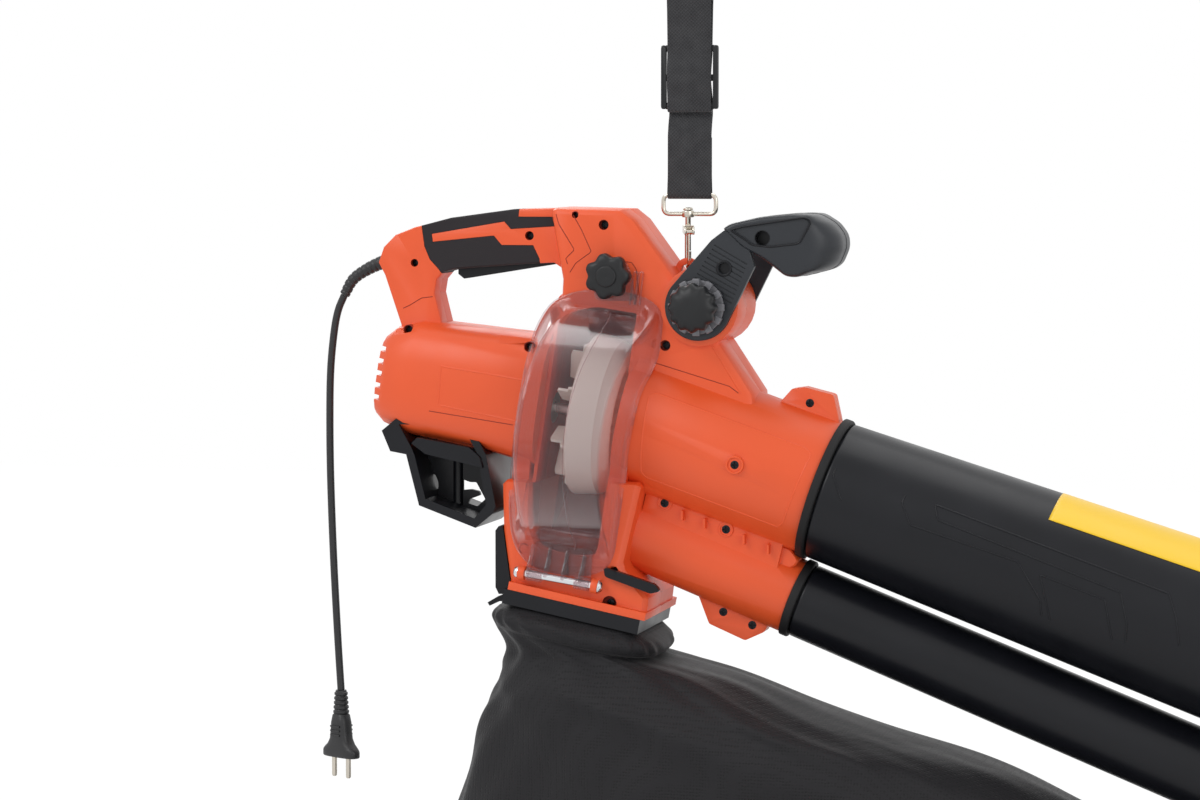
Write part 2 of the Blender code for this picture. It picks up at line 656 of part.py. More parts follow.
def grip_and_trigger():
    grip = plate("handle_grip", HANDLE_OUTLINE, -HANDLE_HALF, HANDLE_HALF, edge=HANDLE_ROUND,
                 segments=HANDLE_STEPS)
    keep(grip, grip_region("grip_zone", 0.0))
    cut(grip, trigger_slot("grip_slot"))
    paint(grip, "soft_rubber", BLACK, 0.7)
    trigger = plate("trigger", TRIGGER_OUTLINE, -TRIGGER_HALF, TRIGGER_HALF)
    cut(trigger,
        cylinder("trigger_bore", TRIGGER_PIN + GAP, -0.02, 0.02, Matrix.Translation(TRIGGER_PIVOT),
                 along="Y", sides=SMALL_SIDES))
    paint(trigger, "pa", BLACK, 0.45)
    pin = cylinder("trigger_pin", TRIGGER_PIN, -TRIGGER_PIN_HALF, TRIGGER_PIN_HALF,
                   Matrix.Translation(TRIGGER_PIVOT), along="Y",
                   sides=SMALL_SIDES)
    paint(pin, "steel", STEEL, 0.3, 1.0)
    hinge_empty("trigger_axis", TRIGGER_PIVOT, trigger)
    switch = box("switch_module", SWITCH_LOW, SWITCH_HIGH)
    plunger = box("switch_plunger", (-160 * MM, -4 * MM, SWITCH_LOW.z - 2.5 * MM),
                  (-152 * MM, 4 * MM, SWITCH_LOW.z + 1 * MM))
    join(switch, plunger)
    paint(switch, "pa", (0.05, 0.05, 0.05), 0.5)


def hinge_empty(name, point, *objects):
    """An empty on a joint's axis that carries the objects that move with it."""
    empty = bpy.data.objects.new(name, None)
    empty.location = point
    empty.empty_display_size = 0.02
    PARTS.objects.link(empty)
    bpy.context.view_layer.update()
    for obj in objects:
        obj.parent = empty
        obj.matrix_parent_inverse = empty.matrix_world.inverted()


def cord_and_plug():
    sleeve = tube_along("cord_sleeve", SLEEVE_ROUTE, SLEEVE_RADIUS, SLEEVE_TIP, sides=3)
    paint(sleeve, "pvc", BLACK, 0.55)
    cord = tube_along("mains_cord", smooth_route(CORD_POINTS, CORD_STEP), CORD_RADIUS, sides=2)
    paint(cord, "pvc", BLACK, 0.5)
    down = PLUG @ Matrix.Rotation(math.pi / 2, 4, "Y")
    plug = turned("plug_body",
                  [(0.0, 26 * MM), (6.5 * MM, 26 * MM), (5.6 * MM, 8 * MM), (5.2 * MM, 0.0),
                   (0.0, 0.0)], down, 14)
    shell = plate("plug_shell",
                  metres((-7, -22), (-9.5, -30), (-10, -45), (-21.5, -54), (-21.5, -62), (21.5, -62),
                         (21.5, -54), (10, -45), (9.5, -30), (7, -22)), -8 * MM, 8 * MM,
                  PLUG, edge=3 * MM)
    join(plug, shell)
    paint(plug, "pvc", BLACK, 0.5)
    for i, side in enumerate((-1, 1)):
        place = PLUG @ Matrix.Translation((side * PIN_SPACING / 2, 0,
                                           -62 * MM - GAP)) @ Matrix.Rotation(math.pi / 2, 4, "Y")
        pin = turned(f"plug_pin_{i + 1}", [(0.0, PIN_LENGTH), (PIN_RADIUS * 0.6, PIN_LENGTH),
                                           (PIN_RADIUS, PIN_LENGTH - 2 * MM), (PIN_RADIUS, 0.0),
                                           (0.0, 0.0)], place, 10)
        paint(pin, "nickel", STEEL, 0.25, 1.0)


def ring(name, inner, outer, start, end, frame, sides):
    """A plain ring along a frame's X axis."""
    return turned(name, [(outer, end), (outer, start), (inner, start), (inner, end)], frame, sides,
                  closed=True)


def motor():
    bore = SHAFT_RADIUS + GAP
    stator = ring("motor_stator", STATOR[3], STATOR[2], STATOR[0], STATOR[1], MOTOR, 24)
    paint(stator, "laminations", (0.2, 0.2, 0.2), 0.5, 1.0)
    shaft = turned("motor_shaft",
                   [(0.0, 24 * MM), (SHAFT_RADIUS, 24 * MM), (SHAFT_RADIUS, REAR_BEARING[0] - 1 * MM),
                    (0.0, REAR_BEARING[0] - 1 * MM)], MOTOR, 20)
    paint(shaft, "steel", STEEL, 0.3, 1.0)
    armature = ring("armature", bore, ARMATURE_RADIUS, STATOR[0] + 1 * MM, STATOR[1] - 1 * MM, MOTOR,
                    20)
    paint(armature, "laminations", (0.25, 0.22, 0.2), 0.45, 1.0)
    commutator = ring("commutator", bore, COMMUTATOR[2], COMMUTATOR[0], COMMUTATOR[1], MOTOR, 16)
    paint(commutator, "copper", (0.6, 0.3, 0.15), 0.3, 1.0)
    fan = ring("cooling_fan", bore, 12 * MM, COOLING_FAN[0], COOLING_FAN[1], MOTOR, 16)
    join(fan,
         ring("fan_disc", bore + 1 * MM, COOLING_FAN[2], COOLING_FAN[0], COOLING_FAN[0] + 2 * MM, MOTOR,
              20))
    for i in range(COOLING_BLADES):
        turn = MOTOR @ Matrix.Rotation(2 * math.pi * i / COOLING_BLADES, 4, "X")
        join(fan, box(f"fan_blade_{i}", (COOLING_FAN[0] + 1 * MM, 11 * MM, -1 * MM),
                      (COOLING_FAN[1] - 1 * MM, COOLING_FAN[2] - 1 * MM, 1 * MM), turn))
    paint(fan, "pa", (0.1, 0.1, 0.1), 0.5)
    rear = ring("rear_bearing", bore, REAR_BEARING[2], REAR_BEARING[0], REAR_BEARING[1] - GAP, MOTOR,
                16)
    front = ring("front_bearing", bore, FRONT_BEARING_RADIUS, MOTOR_WALL[0], MOTOR_WALL[1], MOTOR, 20)
    for bearing in (rear, front):
        paint(bearing, "steel", STEEL, 0.3, 1.0)
    for name, side in (("brush_holder_top", 1), ("brush_holder_bottom", -1)):
        low, high = sorted((side * (COMMUTATOR[2] + GAP * 2), side * (COMMUTATOR[2] + 17 * MM)))
        holder = box(name, (REAR_BEARING[1] + GAP, -5 * MM, low),
                     (COMMUTATOR[1] - 1 * MM, 5 * MM, high), MOTOR)
        paint(holder, "brass", (0.5, 0.4, 0.15), 0.4, 1.0)


def impeller():
    bore = SHAFT_RADIUS + GAP
    back = -8 * MM
    fan = ring("impeller", bore, 15 * MM, -FAN_DEPTH / 2, 12 * MM, MOTOR, 16)
    join(fan, ring("impeller_disc", bore + 1 * MM, FAN_RADIUS, back, back + 3 * MM, MOTOR, 32))
    for i in range(FAN_BLADES):
        turn = MOTOR @ Matrix.Rotation(2 * math.pi * i / FAN_BLADES, 4, "X")
        blade = plate(f"impeller_blade_{i}",
                      [(back + 1 * MM, 14 * MM), (12 * MM, 14 * MM), (FAN_DEPTH / 2, 34 * MM),
                       (FAN_DEPTH / 2, FAN_RADIUS - 2 * MM),
                       (back + 1 * MM, FAN_RADIUS - 1 * MM)],
                      -1.3 * MM, 1.3 * MM, turn)
        rear = box(f"impeller_rear_blade_{i}", (-FAN_DEPTH / 2 + 2 * MM, -1.2 * MM, 40 * MM),
                   (back + 1 * MM, 1.2 * MM, FAN_RADIUS - 1 * MM),
                   turn @ Matrix.Rotation(math.pi / FAN_BLADES, 4, "X"))
        join(fan, blade, rear)
    paint(fan, "pa", (0.75, 0.76, 0.68), 0.4)
    nut = ring("impeller_nut", bore / math.cos(math.pi / 6), 9 * MM, 12 * MM + GAP, 20 * MM, MOTOR, 6)
    paint(nut, "steel", STEEL, 0.3, 1.0)
    hinge_empty("motor_axis", FAN_CENTRE, fan, nut)


def star(radius, depth, lobes, steps):
    """A star knob's outline with round lobes, as (x, z) points."""
    count = lobes * steps
    points = []
    for i in range(count):
        reach = radius - depth / 2 + depth / 2 * math.cos(2 * math.pi * i / steps)
        angle = 2 * math.pi * i / count
        points.append((reach * math.cos(angle), reach * math.sin(angle)))
    return points


def clear_cover():
    cover = scroll_form("clear_cover", 0.0)
    cut(cover, scroll_form("cover_hollow", -COVER_WALL))
    keep(cover, box("cover_side", (-0.4, -0.3, -0.5), (0.3, -RIM - GAP, 0.2)))
    x, z = KNOB_PLACE.x, KNOB_PLACE.z
    tab = plate("cover_tab",
                rounded([(x - 14 * MM, z - 32 * MM), (x - 14 * MM, z + 14 * MM),
                         (x + 14 * MM, z + 14 * MM),
                         (x + 14 * MM, z - 32 * MM)], 9 * MM),
                -NECK_HALF - GAP - TAB_THICKNESS, -NECK_HALF - GAP)
    join(cover, tab)
    for i in range(2):
        start = (-29 + 44 * i) * MM
        join(cover,
             cylinder(f"cover_knuckle_{i}", HINGE_PIN + 3 * MM, start, start + 14 * MM, HINGE,
                      sides=20))
    join(cover, box("cover_web", (-29 * MM, -5 * MM, 3 * MM), (29 * MM, -1.5 * MM, 33 * MM), HINGE))
    cut(cover, cylinder("cover_pin_bore", HINGE_PIN + GAP, -60 * MM, 60 * MM, HINGE, sides=20),
        cylinder("cover_knob_bore", KNOB_BOLT + GAP, -50 * MM, -20 * MM, Matrix.Translation(KNOB_PLACE),
                 along="Y", sides=20))
    paint(cover, "polycarbonate", (0.8, 0.8, 0.82), 0.08, alpha=0.3)
    end = EAR_STATION + EAR_WIDTH + GAP
    pin = turned("cover_hinge_pin",
                 [(0.0, end + 4 * MM), (4 * MM, end + 3 * MM), (5.5 * MM, end + 1.5 * MM),
                  (5.5 * MM, end),
                  (HINGE_PIN, end), (HINGE_PIN, -end), (5.5 * MM, -end),
                  (5.5 * MM, -end - 1.5 * MM),
                  (4 * MM, -end - 3 * MM), (0.0, -end - 4 * MM)], HINGE, 14)
    paint(pin, "steel", STEEL, 0.2, 1.0)
    face = NECK_HALF + 2 * GAP + TAB_THICKNESS
    place = Matrix.Translation(KNOB_PLACE)
    knob = plate("cover_knob", star(20.5 * MM, 4 * MM, 7, 4), -face - 19 * MM, -face - 6 * MM, place,
                 edge=2 * MM, segments=1)
    join(knob, cylinder("cover_knob_hub", 11 * MM, -face - 7 * MM, -face, place, along="Y", sides=24),
         cylinder("cover_knob_bolt", KNOB_BOLT, -face - 1 * MM, -NECK_HALF + 10 * MM, place, along="Y",
                  sides=16))
    paint(knob, "pa", BLACK, 0.5)
    hinge_empty("cover_axis", HINGE.translation, cover)
    hinge_empty("cover_knob_axis", KNOB_PLACE, knob)


GRIP_PROFILE = metres((36, 38), (46, 42.5), (74, 48.5), (103, 51.3), (121, 50.5), (135, 42.6),
                      (143, 32), (144, 21),
                      (138, 5), (131, 1), (95, -3.6), (77, -6.4), (62, -3), (44, 22))
ARM_INNER = BOSS_HALF + GAP
ARM_OUTER = BOSS_HALF + 6.0 * MM
ARM_RADIUS = 30.0 * MM
FRONT_GRIP_HALF = 46.0 * MM
INDEX_TEETH = 9


def front_handle():
    arc = [(PIVOT.x + ARM_RADIUS * math.cos(math.radians(a)),
            PIVOT.z + ARM_RADIUS * math.sin(math.radians(a)))
           for a in range(-24, -218, -12)]
    arm_outline = arc + metres((31, 28), (44, 37), (60, 30), (66, 0))
    grip = plate("front_grip_form", GRIP_PROFILE, -FRONT_GRIP_HALF, FRONT_GRIP_HALF, edge=11 * MM,
                 segments=3)
    cut(grip,
        plate("front_grip_hollow", inset(GRIP_PROFILE, WALL), -FRONT_GRIP_HALF + WALL,
              FRONT_GRIP_HALF - WALL,
              edge=8 * MM, segments=2))
    for side in (-1, 1):
        low, high = sorted((side * ARM_INNER, side * ARM_OUTER))
        join(grip, plate(f"front_arm_{low > 0}", arm_outline, low, high))
    cut(grip,
        cylinder("front_bolt_hole", BOLT_RADIUS + GAP, -0.06, 0.06, Matrix.Translation(PIVOT),
                 along="Y", sides=20),
        cylinder("front_boss_room", BOSS_RADIUS + 2 * MM, -ARM_INNER, ARM_INNER,
                 Matrix.Translation(PIVOT), along="Y"))
    for i, (x, z, radius) in enumerate(((77, 30, 6.5), (48, 15, 5.0))):
        cut(grip, cylinder(f"front_screw_hole_{i}", radius * MM, -0.06, -0.036,
                           Matrix.Translation((x * MM, 0, z * MM)), along="Y", sides=20))
    whole = baked(grip)
    left = copy_of(whole, "front_handle_left")
    whole.name = "front_handle_right"
    keep(whole, box("front_half_right", (-0.1, -0.1, -0.1), (0.2, -GAP / 2, 0.1)))
    keep(left, box("front_half_left", (-0.1, GAP / 2, -0.1), (0.2, 0.1, 0.1)))
    paint(whole, "pp", BLACK, 0.45)
    paint(left, "pp", BLACK, 0.45)
    frame = about_y(PIVOT)
    outer = ARM_OUTER + GAP
    bolt = turned("handle_bolt",
                  [(0.0, outer + 5 * MM), (8 * MM, outer + 5 * MM), (8 * MM, outer),
                   (BOLT_RADIUS, outer),
                   (BOLT_RADIUS, -outer - 16 * MM), (0.0, -outer - 16 * MM)], frame, 20)
    paint(bolt, "steel", STEEL, 0.3, 1.0)
    index = ring("index_ring", BOLT_RADIUS + GAP, 19 * MM, -outer - 3 * MM, -outer, frame, 20)
    for i in range(INDEX_TEETH):
        turn = frame @ Matrix.Rotation(2 * math.pi * i / INDEX_TEETH, 4, "X")
        join(index,
             box(f"index_tooth_{i}", (-outer - 9 * MM, 14 * MM, -2.6 * MM),
                 (-outer - 2 * MM, 20 * MM, 2.6 * MM), turn))
    paint(index, "pa", BLACK, 0.45)
    knob_face = -outer - 3 * MM - GAP
    knob = plate("front_knob", star(21.5 * MM, 2.6 * MM, 12, 4), knob_face - 27 * MM,
                 knob_face - 10 * MM,
                 Matrix.Translation(PIVOT), edge=3 * MM, segments=1)
    join(knob,
         cylinder("front_knob_hub", 12 * MM, knob_face - 12 * MM, knob_face, Matrix.Translation(PIVOT),
                  along="Y"))
    cut(knob,
        cylinder("front_knob_bore", BOLT_RADIUS + GAP, -outer - 16 * MM - GAP, 0.0,
                 Matrix.Translation(PIVOT),
                 along="Y", sides=20))
    paint(knob, "pa", BLACK, 0.5)
    hinge_empty("front_handle_axis", PIVOT, whole, left, knob)


# Outlets and tubes, by station along the suction or blow axis
SEAL_END = 8.0 * MM
SUCTION_SPIGOT = 22.0 * MM       # how far the suction tube reaches into the housing
BLOW_SPIGOT = 18.0 * MM
TUBE_WALL = 2.4 * MM
JOINT_START = 396.0 * MM
JOINT_END = 430.0 * MM
TUBE_END = 820.0 * MM
# Outer radius at the shoulder and at the joint, then of the lower tube
SUCTION_TUBE = (SUCTION_RADIUS + 0.5 * MM, SUCTION_RADIUS + 13.5 * MM)
SUCTION_LOWER = SUCTION_RADIUS + 16.5 * MM
BLOW_TUBE = (BLOW_RADIUS - 1.0 * MM, BLOW_RADIUS + 0.5 * MM)
BLOW_LOWER = BLOW_RADIUS + 3.0 * MM
BLOW_TIP = BLOW_RADIUS - 5.5 * MM
SOCKET_GAP = 0.5 * MM
SHOULDER = 9.0 * MM


def tube_pair(prefix, frame, spigot_radius, spigot, upper, lower_radius, end, tip_radius, sides):
    """An upper tube with its spigot, and a lower tube that slips over the upper one's end."""
    wall = TUBE_WALL
    at_joint = upper[1]
    outer = [(at_joint, JOINT_END), (upper[0], SHOULDER), (spigot_radius, SHOULDER),
             (spigot_radius, -spigot)]
    inner = [(spigot_radius - wall, -spigot), (spigot_radius - wall, SHOULDER + 2 * MM),
             (at_joint - wall, JOINT_END)]
    top = turned(prefix + "_upper", outer + inner, frame, sides, closed=True)
    socket = at_joint + SOCKET_GAP
    bottom = turned(prefix + "_lower",
                    [(tip_radius, end), (lower_radius, end * 0.8), (lower_radius, JOINT_START),
                     (socket, JOINT_START), (socket, JOINT_END + GAP),
                     (at_joint - wall, JOINT_END + GAP + 1 * MM),
                     (lower_radius - wall - 1 * MM, end * 0.8), (tip_radius - wall, end)],
                    frame, sides, closed=True)
    for part in (top, bottom):
        paint(part, "pp", BLACK, 0.4)
    return top, bottom


def tubes():
    suction_sides = 28
    blow_sides = 20
    ring_inner = SUCTION_RADIUS - WALL - 0.2 * MM
    seal = ring("suction_seal", ring_inner, SUCTION_RADIUS + 3 * MM, GAP, SEAL_END, SUCTION,
                suction_sides)
    blow_inner = (BLOW_RADIUS - WALL) * math.cos(math.pi / 16)
    blow_seal = ring("blow_seal", blow_inner, BLOW_RADIUS + 1.5 * MM, GAP, SEAL_END, BLOW, blow_sides)
    paint(seal, "rubber", BLACK, 0.7)
    paint(blow_seal, "rubber", BLACK, 0.7)
    top, bottom = tube_pair("suction_tube", SUCTION, ring_inner - 0.6 * MM, SUCTION_SPIGOT,
                            SUCTION_TUBE, SUCTION_LOWER,
                            TUBE_END, SUCTION_LOWER, suction_sides)
    cut(bottom, box("suction_tube_bevel", (0, -0.2, -0.3), (0.3, 0.2, 0.3),
                    SUCTION @ Matrix.Translation((TUBE_END - 45 * MM, 0,
                                                  0)) @ Matrix.Rotation(math.radians(-28), 4, "Y")))
    tube_pair("blow_tube", BLOW, blow_inner - 0.6 * MM, BLOW_SPIGOT, BLOW_TUBE, BLOW_LOWER,
              TUBE_END + 40 * MM,
              BLOW_TIP, blow_sides)


WHEEL_STATION = 640.0 * MM
WHEEL_RADIUS = 32.0 * MM
WHEEL_DROP = 76.0 * MM
WHEEL_IN = 14.0 * MM
WHEEL_WIDTH = 18.0 * MM
AXLE_RADIUS = 4.0 * MM


def wheels():
    place = BLOW @ Matrix.Translation((WHEEL_STATION, 0, 0))
    bracket = ring("wheel_bracket", BLOW_LOWER + GAP, BLOW_LOWER + 4 * MM, -14 * MM, 14 * MM, place, 20)
    axle_place = place @ Matrix.Translation((0, 0, -WHEEL_DROP))
    reach = WHEEL_IN + WHEEL_WIDTH + 4 * MM
    join(bracket, box("wheel_leg", (-9 * MM, -WHEEL_IN + 1 * MM, -WHEEL_DROP - 8 * MM),
                      (9 * MM, WHEEL_IN - 1 * MM, -BLOW_LOWER - 2 * MM), place),
         cylinder("wheel_axle", AXLE_RADIUS, -reach, reach, axle_place, along="Y", sides=12))
    paint(bracket, "pp", BLACK, 0.45)
    for name, side in (("wheel_right", -1), ("wheel_left", 1)):
        start, end = sorted((side * WHEEL_IN, side * (WHEEL_IN + WHEEL_WIDTH)))
        turn = axle_place @ Matrix.Rotation(math.pi / 2, 4, "Z")
        wheel = turned(name,
                       [(WHEEL_RADIUS - 2 * MM, end), (WHEEL_RADIUS, end - 3 * MM),
                        (WHEEL_RADIUS, start + 3 * MM),
                        (WHEEL_RADIUS - 2 * MM, start), (AXLE_RADIUS + GAP, start),
                        (AXLE_RADIUS + GAP, end)],
                       turn, 20, closed=True)
        paint(wheel, "rubber", BLACK, 0.6)
        hinge_empty(name + "_axis", axle_place.translation, wheel)


def screws():
    for name, (x, z, face) in SCREWS.items():
        frame = about_y((x, 0, z))
        head = -face - SCREW_PROUD
        screw = turned(name, [(0.0, -face + SCREW_LENGTH), (SCREW_SHANK, -face + SCREW_LENGTH),
                              (SCREW_SHANK, head + SCREW_HEAD_DEPTH),
                              (SCREW_HEAD, head + SCREW_HEAD_DEPTH),
                              (SCREW_HEAD, head + 0.6 * MM), (SCREW_HEAD * 0.7, head), (0.0, head)],
                       frame, 10)
        paint(screw, "blackened_steel", BLACK, 0.4, 1.0)


def diverter():
    flap = cylinder("diverter", FLAP_SHAFT, -DUCT_HALF - 8 * MM, FLAP_HALF + 6 * MM,
                    Matrix.Translation(FLAP_PIVOT),
                    along="Y", sides=20)
    place = Matrix.Translation(FLAP_PIVOT)
    near = 3.5 * MM - RIM        # the flap swings past the clear cover's wall, which starts at the rim
    join(flap, box("flap_plate", (-1.5 * MM, near, 0), (1.5 * MM, FLAP_HALF, FLAP_LENGTH), place),
         plate("flap_lever", rounded(metres((-7, 7), (-7, -7), (34, -22), (44, -17), (40, -8)), 4 * MM),
               -DUCT_HALF - 7 * MM, -DUCT_HALF - 1 * MM, place))
    paint(flap, "pp", BLACK, 0.45)
    hinge_empty("diverter_axis", FLAP_PIVOT, flap)


REAR_PLATE = metres((-158.5, -229), (-157.6, -232.2), (-151.3, -278), (-151.3, -290), (-162, -290),
                    (-165, -284),
                    (-165, -233), (-162, -229))
LATCH_PIVOT = Vector((-161.5, 0.0, -297.5)) * MM
LATCH_PIN = 2.2 * MM
LATCH_HALF = 17.0 * MM


MOUTH_CENTRE = -2.5 * MM         # along the flange
MOUTH_HALF_LENGTH = 58.5 * MM
MOUTH_HALF_WIDTH = 55.0 * MM
BAG_SIDES = 20


def mouth_ring(grow, depth):
    """A ring round the collar's neck, at a depth below the outlet flange."""
    return [FLANGE @ Vector((MOUTH_CENTRE + x, y, depth))
            for x, y in superellipse(MOUTH_HALF_LENGTH + grow, MOUTH_HALF_WIDTH + grow, 8, BAG_SIDES)]


def bag_collar():
    low = -COLLAR_DEPTH - GAP
    frame = box("bag_collar", (-FLANGE_HALF_LENGTH - 3 * MM, -FLANGE_HALF_WIDTH, low),
                (FLANGE_HALF_LENGTH - 4 * MM, FLANGE_HALF_WIDTH, -GAP), FLANGE)
    neck = loft("collar_neck", [mouth_ring(0.0, low + 2 * MM), mouth_ring(0.0, -COLLAR_NECK)])
    join(frame, neck, plate("collar_rear_plate", REAR_PLATE, -50 * MM, 50 * MM))
    for i, side in enumerate((-1, 1)):
        start, end = sorted((side * (LATCH_HALF + GAP), side * (LATCH_HALF + 5 * MM)))
        ear = plate(f"collar_ear_{i}", EAR_OUTLINE, start, end)
        join(frame, ear)
    cut(frame, loft("collar_mouth", [mouth_ring(-4 * MM, 20 * MM), mouth_ring(-4 * MM, -60 * MM)]),
        cylinder("collar_latch_bore", LATCH_PIN + GAP, -40 * MM, 40 * MM,
                 Matrix.Translation(LATCH_PIVOT),
                 along="Y", sides=12),
        cylinder("collar_latch_room", 6.5 * MM, -LATCH_HALF - GAP / 2, LATCH_HALF + GAP / 2,
                 Matrix.Translation(LATCH_PIVOT),
                 along="Y", sides=16))
    paint(frame, "pp", BLACK, 0.5)
    latch = cylinder("bag_latch", 4.5 * MM, -LATCH_HALF, LATCH_HALF, Matrix.Translation(LATCH_PIVOT),
                     along="Y", sides=14)
    lever = plate("latch_lever", LATCH_OUTLINE, -LATCH_HALF + 1 * MM, LATCH_HALF - 1 * MM)
    pin = cylinder("latch_pin", LATCH_PIN, -LATCH_HALF - 4.5 * MM, LATCH_HALF + 4.5 * MM,
                   Matrix.Translation(LATCH_PIVOT),
                   along="Y", sides=12)
    join(latch, lever, pin)
    paint(latch, "pp", BLACK, 0.5)
    hinge_empty("bag_latch_axis", LATCH_PIVOT, latch)


# Collection bag: height below the origin, rearmost and foremost X, half width
BAG_RINGS = [(-352, -172, 8, 70), (-400, -187, 138, 88), (-450, -204, 258, 100), (-505, -221, 395, 104),
             (-565, -238, 520, 100), (-625, -240, 560, 88), (-690, -206, 490, 64),
             (-738, -120, 330, 30)]
BAG_SLOPE = 0.114                # the upper rings lie nose down by this much
SLOPED_RINGS = 5
BAG_WALL = 2.5 * MM


def bag_form(name, shrink, grow, top):
    """The bag's form: its mouth round the collar's neck, then wide hanging rings."""
    rings = [mouth_ring(grow, top), mouth_ring(grow, -COLLAR_NECK - 2 * MM)]
    for i, (z, rear, front, half) in enumerate(BAG_RINGS):
        centre = (rear + front) / 2 * MM
        rise = shrink if i == len(BAG_RINGS) - 1 else 0.0
        slope = BAG_SLOPE if i < SLOPED_RINGS else 0.0
        rings.append([Vector((centre + x, y, z * MM + rise - slope * x))
                      for x, y in superellipse((front - rear) / 2 * MM - shrink,
                                               half * MM - shrink, 2.4, BAG_SIDES)])
    return loft(name, rings)


def collection_bag():
    bag = bag_form("collection_bag", 0.0, GAP + BAG_WALL, -COLLAR_DEPTH - 2 * GAP)
    cut(bag, bag_form("bag_inside", BAG_WALL, GAP, 20 * MM))
    paint(bag, "nonwoven", (0.02, 0.02, 0.02), 0.9)
    place = BLOW @ Matrix.Translation((BAG_STRAP_STATION, 0, 0))
    strap = ring("bag_strap", BLOW_LOWER + GAP, BLOW_LOWER + 2.3 * MM, -12 * MM, 12 * MM, place, 20)
    join(strap, plate("bag_strap_tail", BAG_STRAP_TAIL, -12 * MM, 12 * MM))
    paint(strap, "webbing", BLACK, 0.9)


BAG_STRAP_STATION = 470.0 * MM
BAG_STRAP_TAIL = metres((521, -498), (524.5, -499), (510, -592), (507, -592))
EAR_OUTLINE = metres((-167, -302), (-166, -287), (-152, -287), (-154.5, -296), (-157, -297.5),
                     (-157, -302))
LATCH_OUTLINE = metres((-165.5, -294), (-161.5, -293.6), (-161.5, -301.5), (-171.5, -301),
                       (-180.5, -305.5),
                       (-182.5, -302.5), (-172.5, -296.5))

# Cord holder under the motor
CAGE_OUTLINE = metres((-274, -146), (-266, -164.5), (-251, -167), (-239, -213), (-186, -232),
                      (-170, -219),
                      (-167, -212), (-176, -166), (-190, -140), (-230, -110))
CAGE_WINDOW = metres((-258, -140), (-246, -161), (-243, -168), (-233, -207), (-187, -223.5),
                     (-176, -211),
                     (-184, -165), (-198, -140))
CAGE_HALF = 42.0 * MM


def cord_holder():
    cage = plate("cord_holder", CAGE_OUTLINE, -CAGE_HALF, CAGE_HALF)
    cut(cage, plate("cage_window", CAGE_WINDOW, -0.06, 0.06))
    join(cage,
         cylinder("cage_post", 5 * MM, -8 * MM, 100 * MM, Matrix.Translation((-0.214, 0, -0.219)),
                  along="Z", sides=16),
         plate("cage_hook",
               metres((-243, -175), (-226, -171), (-226, -163), (-229, -163), (-229, -168),
                      (-241, -171)),
               -6 * MM, 6 * MM))
    cut(cage, loft("cage_seat", motor_rings(GAP), MOTOR))
    paint(cage, "pp", BLACK, 0.45)


# Shoulder strap, its slider and ring, and the snap hook in the eye of the housing; (y, z) for the webbing
STRAP_X = 1.5 * MM
STRAP_HALF = 20.0 * MM
STRAP_THICKNESS = 1.6 * MM
STRAP_TOP = 450.0 * MM
STRAP_TOP_RADIUS = 30.0 * MM
STRAP_UP = metres((1.0, 118), (1.0, 84), (2.2, 75), (3.1, 67), (2.2, 64.8), (0, 63.9), (-2.2, 64.8),
                  (-3.1, 67), (-2.2, 75),
                  (-1.0, 84), (-1.0, 120), (1.2, 129), (4.6, 138), (4.6, 150), (0.9, 158.5),
                  (-2.6, 166.5),
                  (-2.6, 175.5), (0, 184), (2.6, 192.5), (2.6, 203), (4.5, 230))
STRAP_DOWN = metres((-4.5, 230), (-2.9, 203), (-2.9, 192), (-4.6, 178), (-4.6, 165), (-3.1, 155),
                    (-2.7, 145),
                    (-2.5, 142), (-1.4, 141.2), (1.4, 141.2), (2.5, 142), (2.7, 145), (2.7, 149))
SLIDER_HALF = 26.0 * MM
SLIDER_BARS = (146.0 * MM, 171.0 * MM, 197.0 * MM)
SLIDER_BAR = 3.0 * MM            # half height of a bar
SLIDER_THICKNESS = 1.5 * MM      # half thickness
RING_WIRE = 2.0 * MM
RING_LOW = 50.0 * MM
RING_HIGH = 67.0 * MM
RING_HALF = 24.0 * MM
HOOK_TURN = 20.0
HOOK_WIRE = 1.8 * MM
HOOK_BEND = 9.0 * MM
HOOK_BEND_CENTRE = 11.4 * MM
GATE_PIVOT = Vector((0.0, -8.5, 34.0)) * MM
GATE_PIN = 1.0 * MM


def ribbon_outline(path, thickness):
    """The outline of a flat ribbon seen on its edge."""
    count = len(path)
    left, right = [], []
    for i in range(count):
        here = Vector(path[i])
        run = (Vector(path[min(i + 1, count - 1)]) - Vector(path[max(i - 1, 0)])).normalized()
        side = Vector((-run.y, run.x)) * thickness / 2
        left.append(tuple(here + side))
        right.append(tuple(here - side))
    return left + right[::-1]


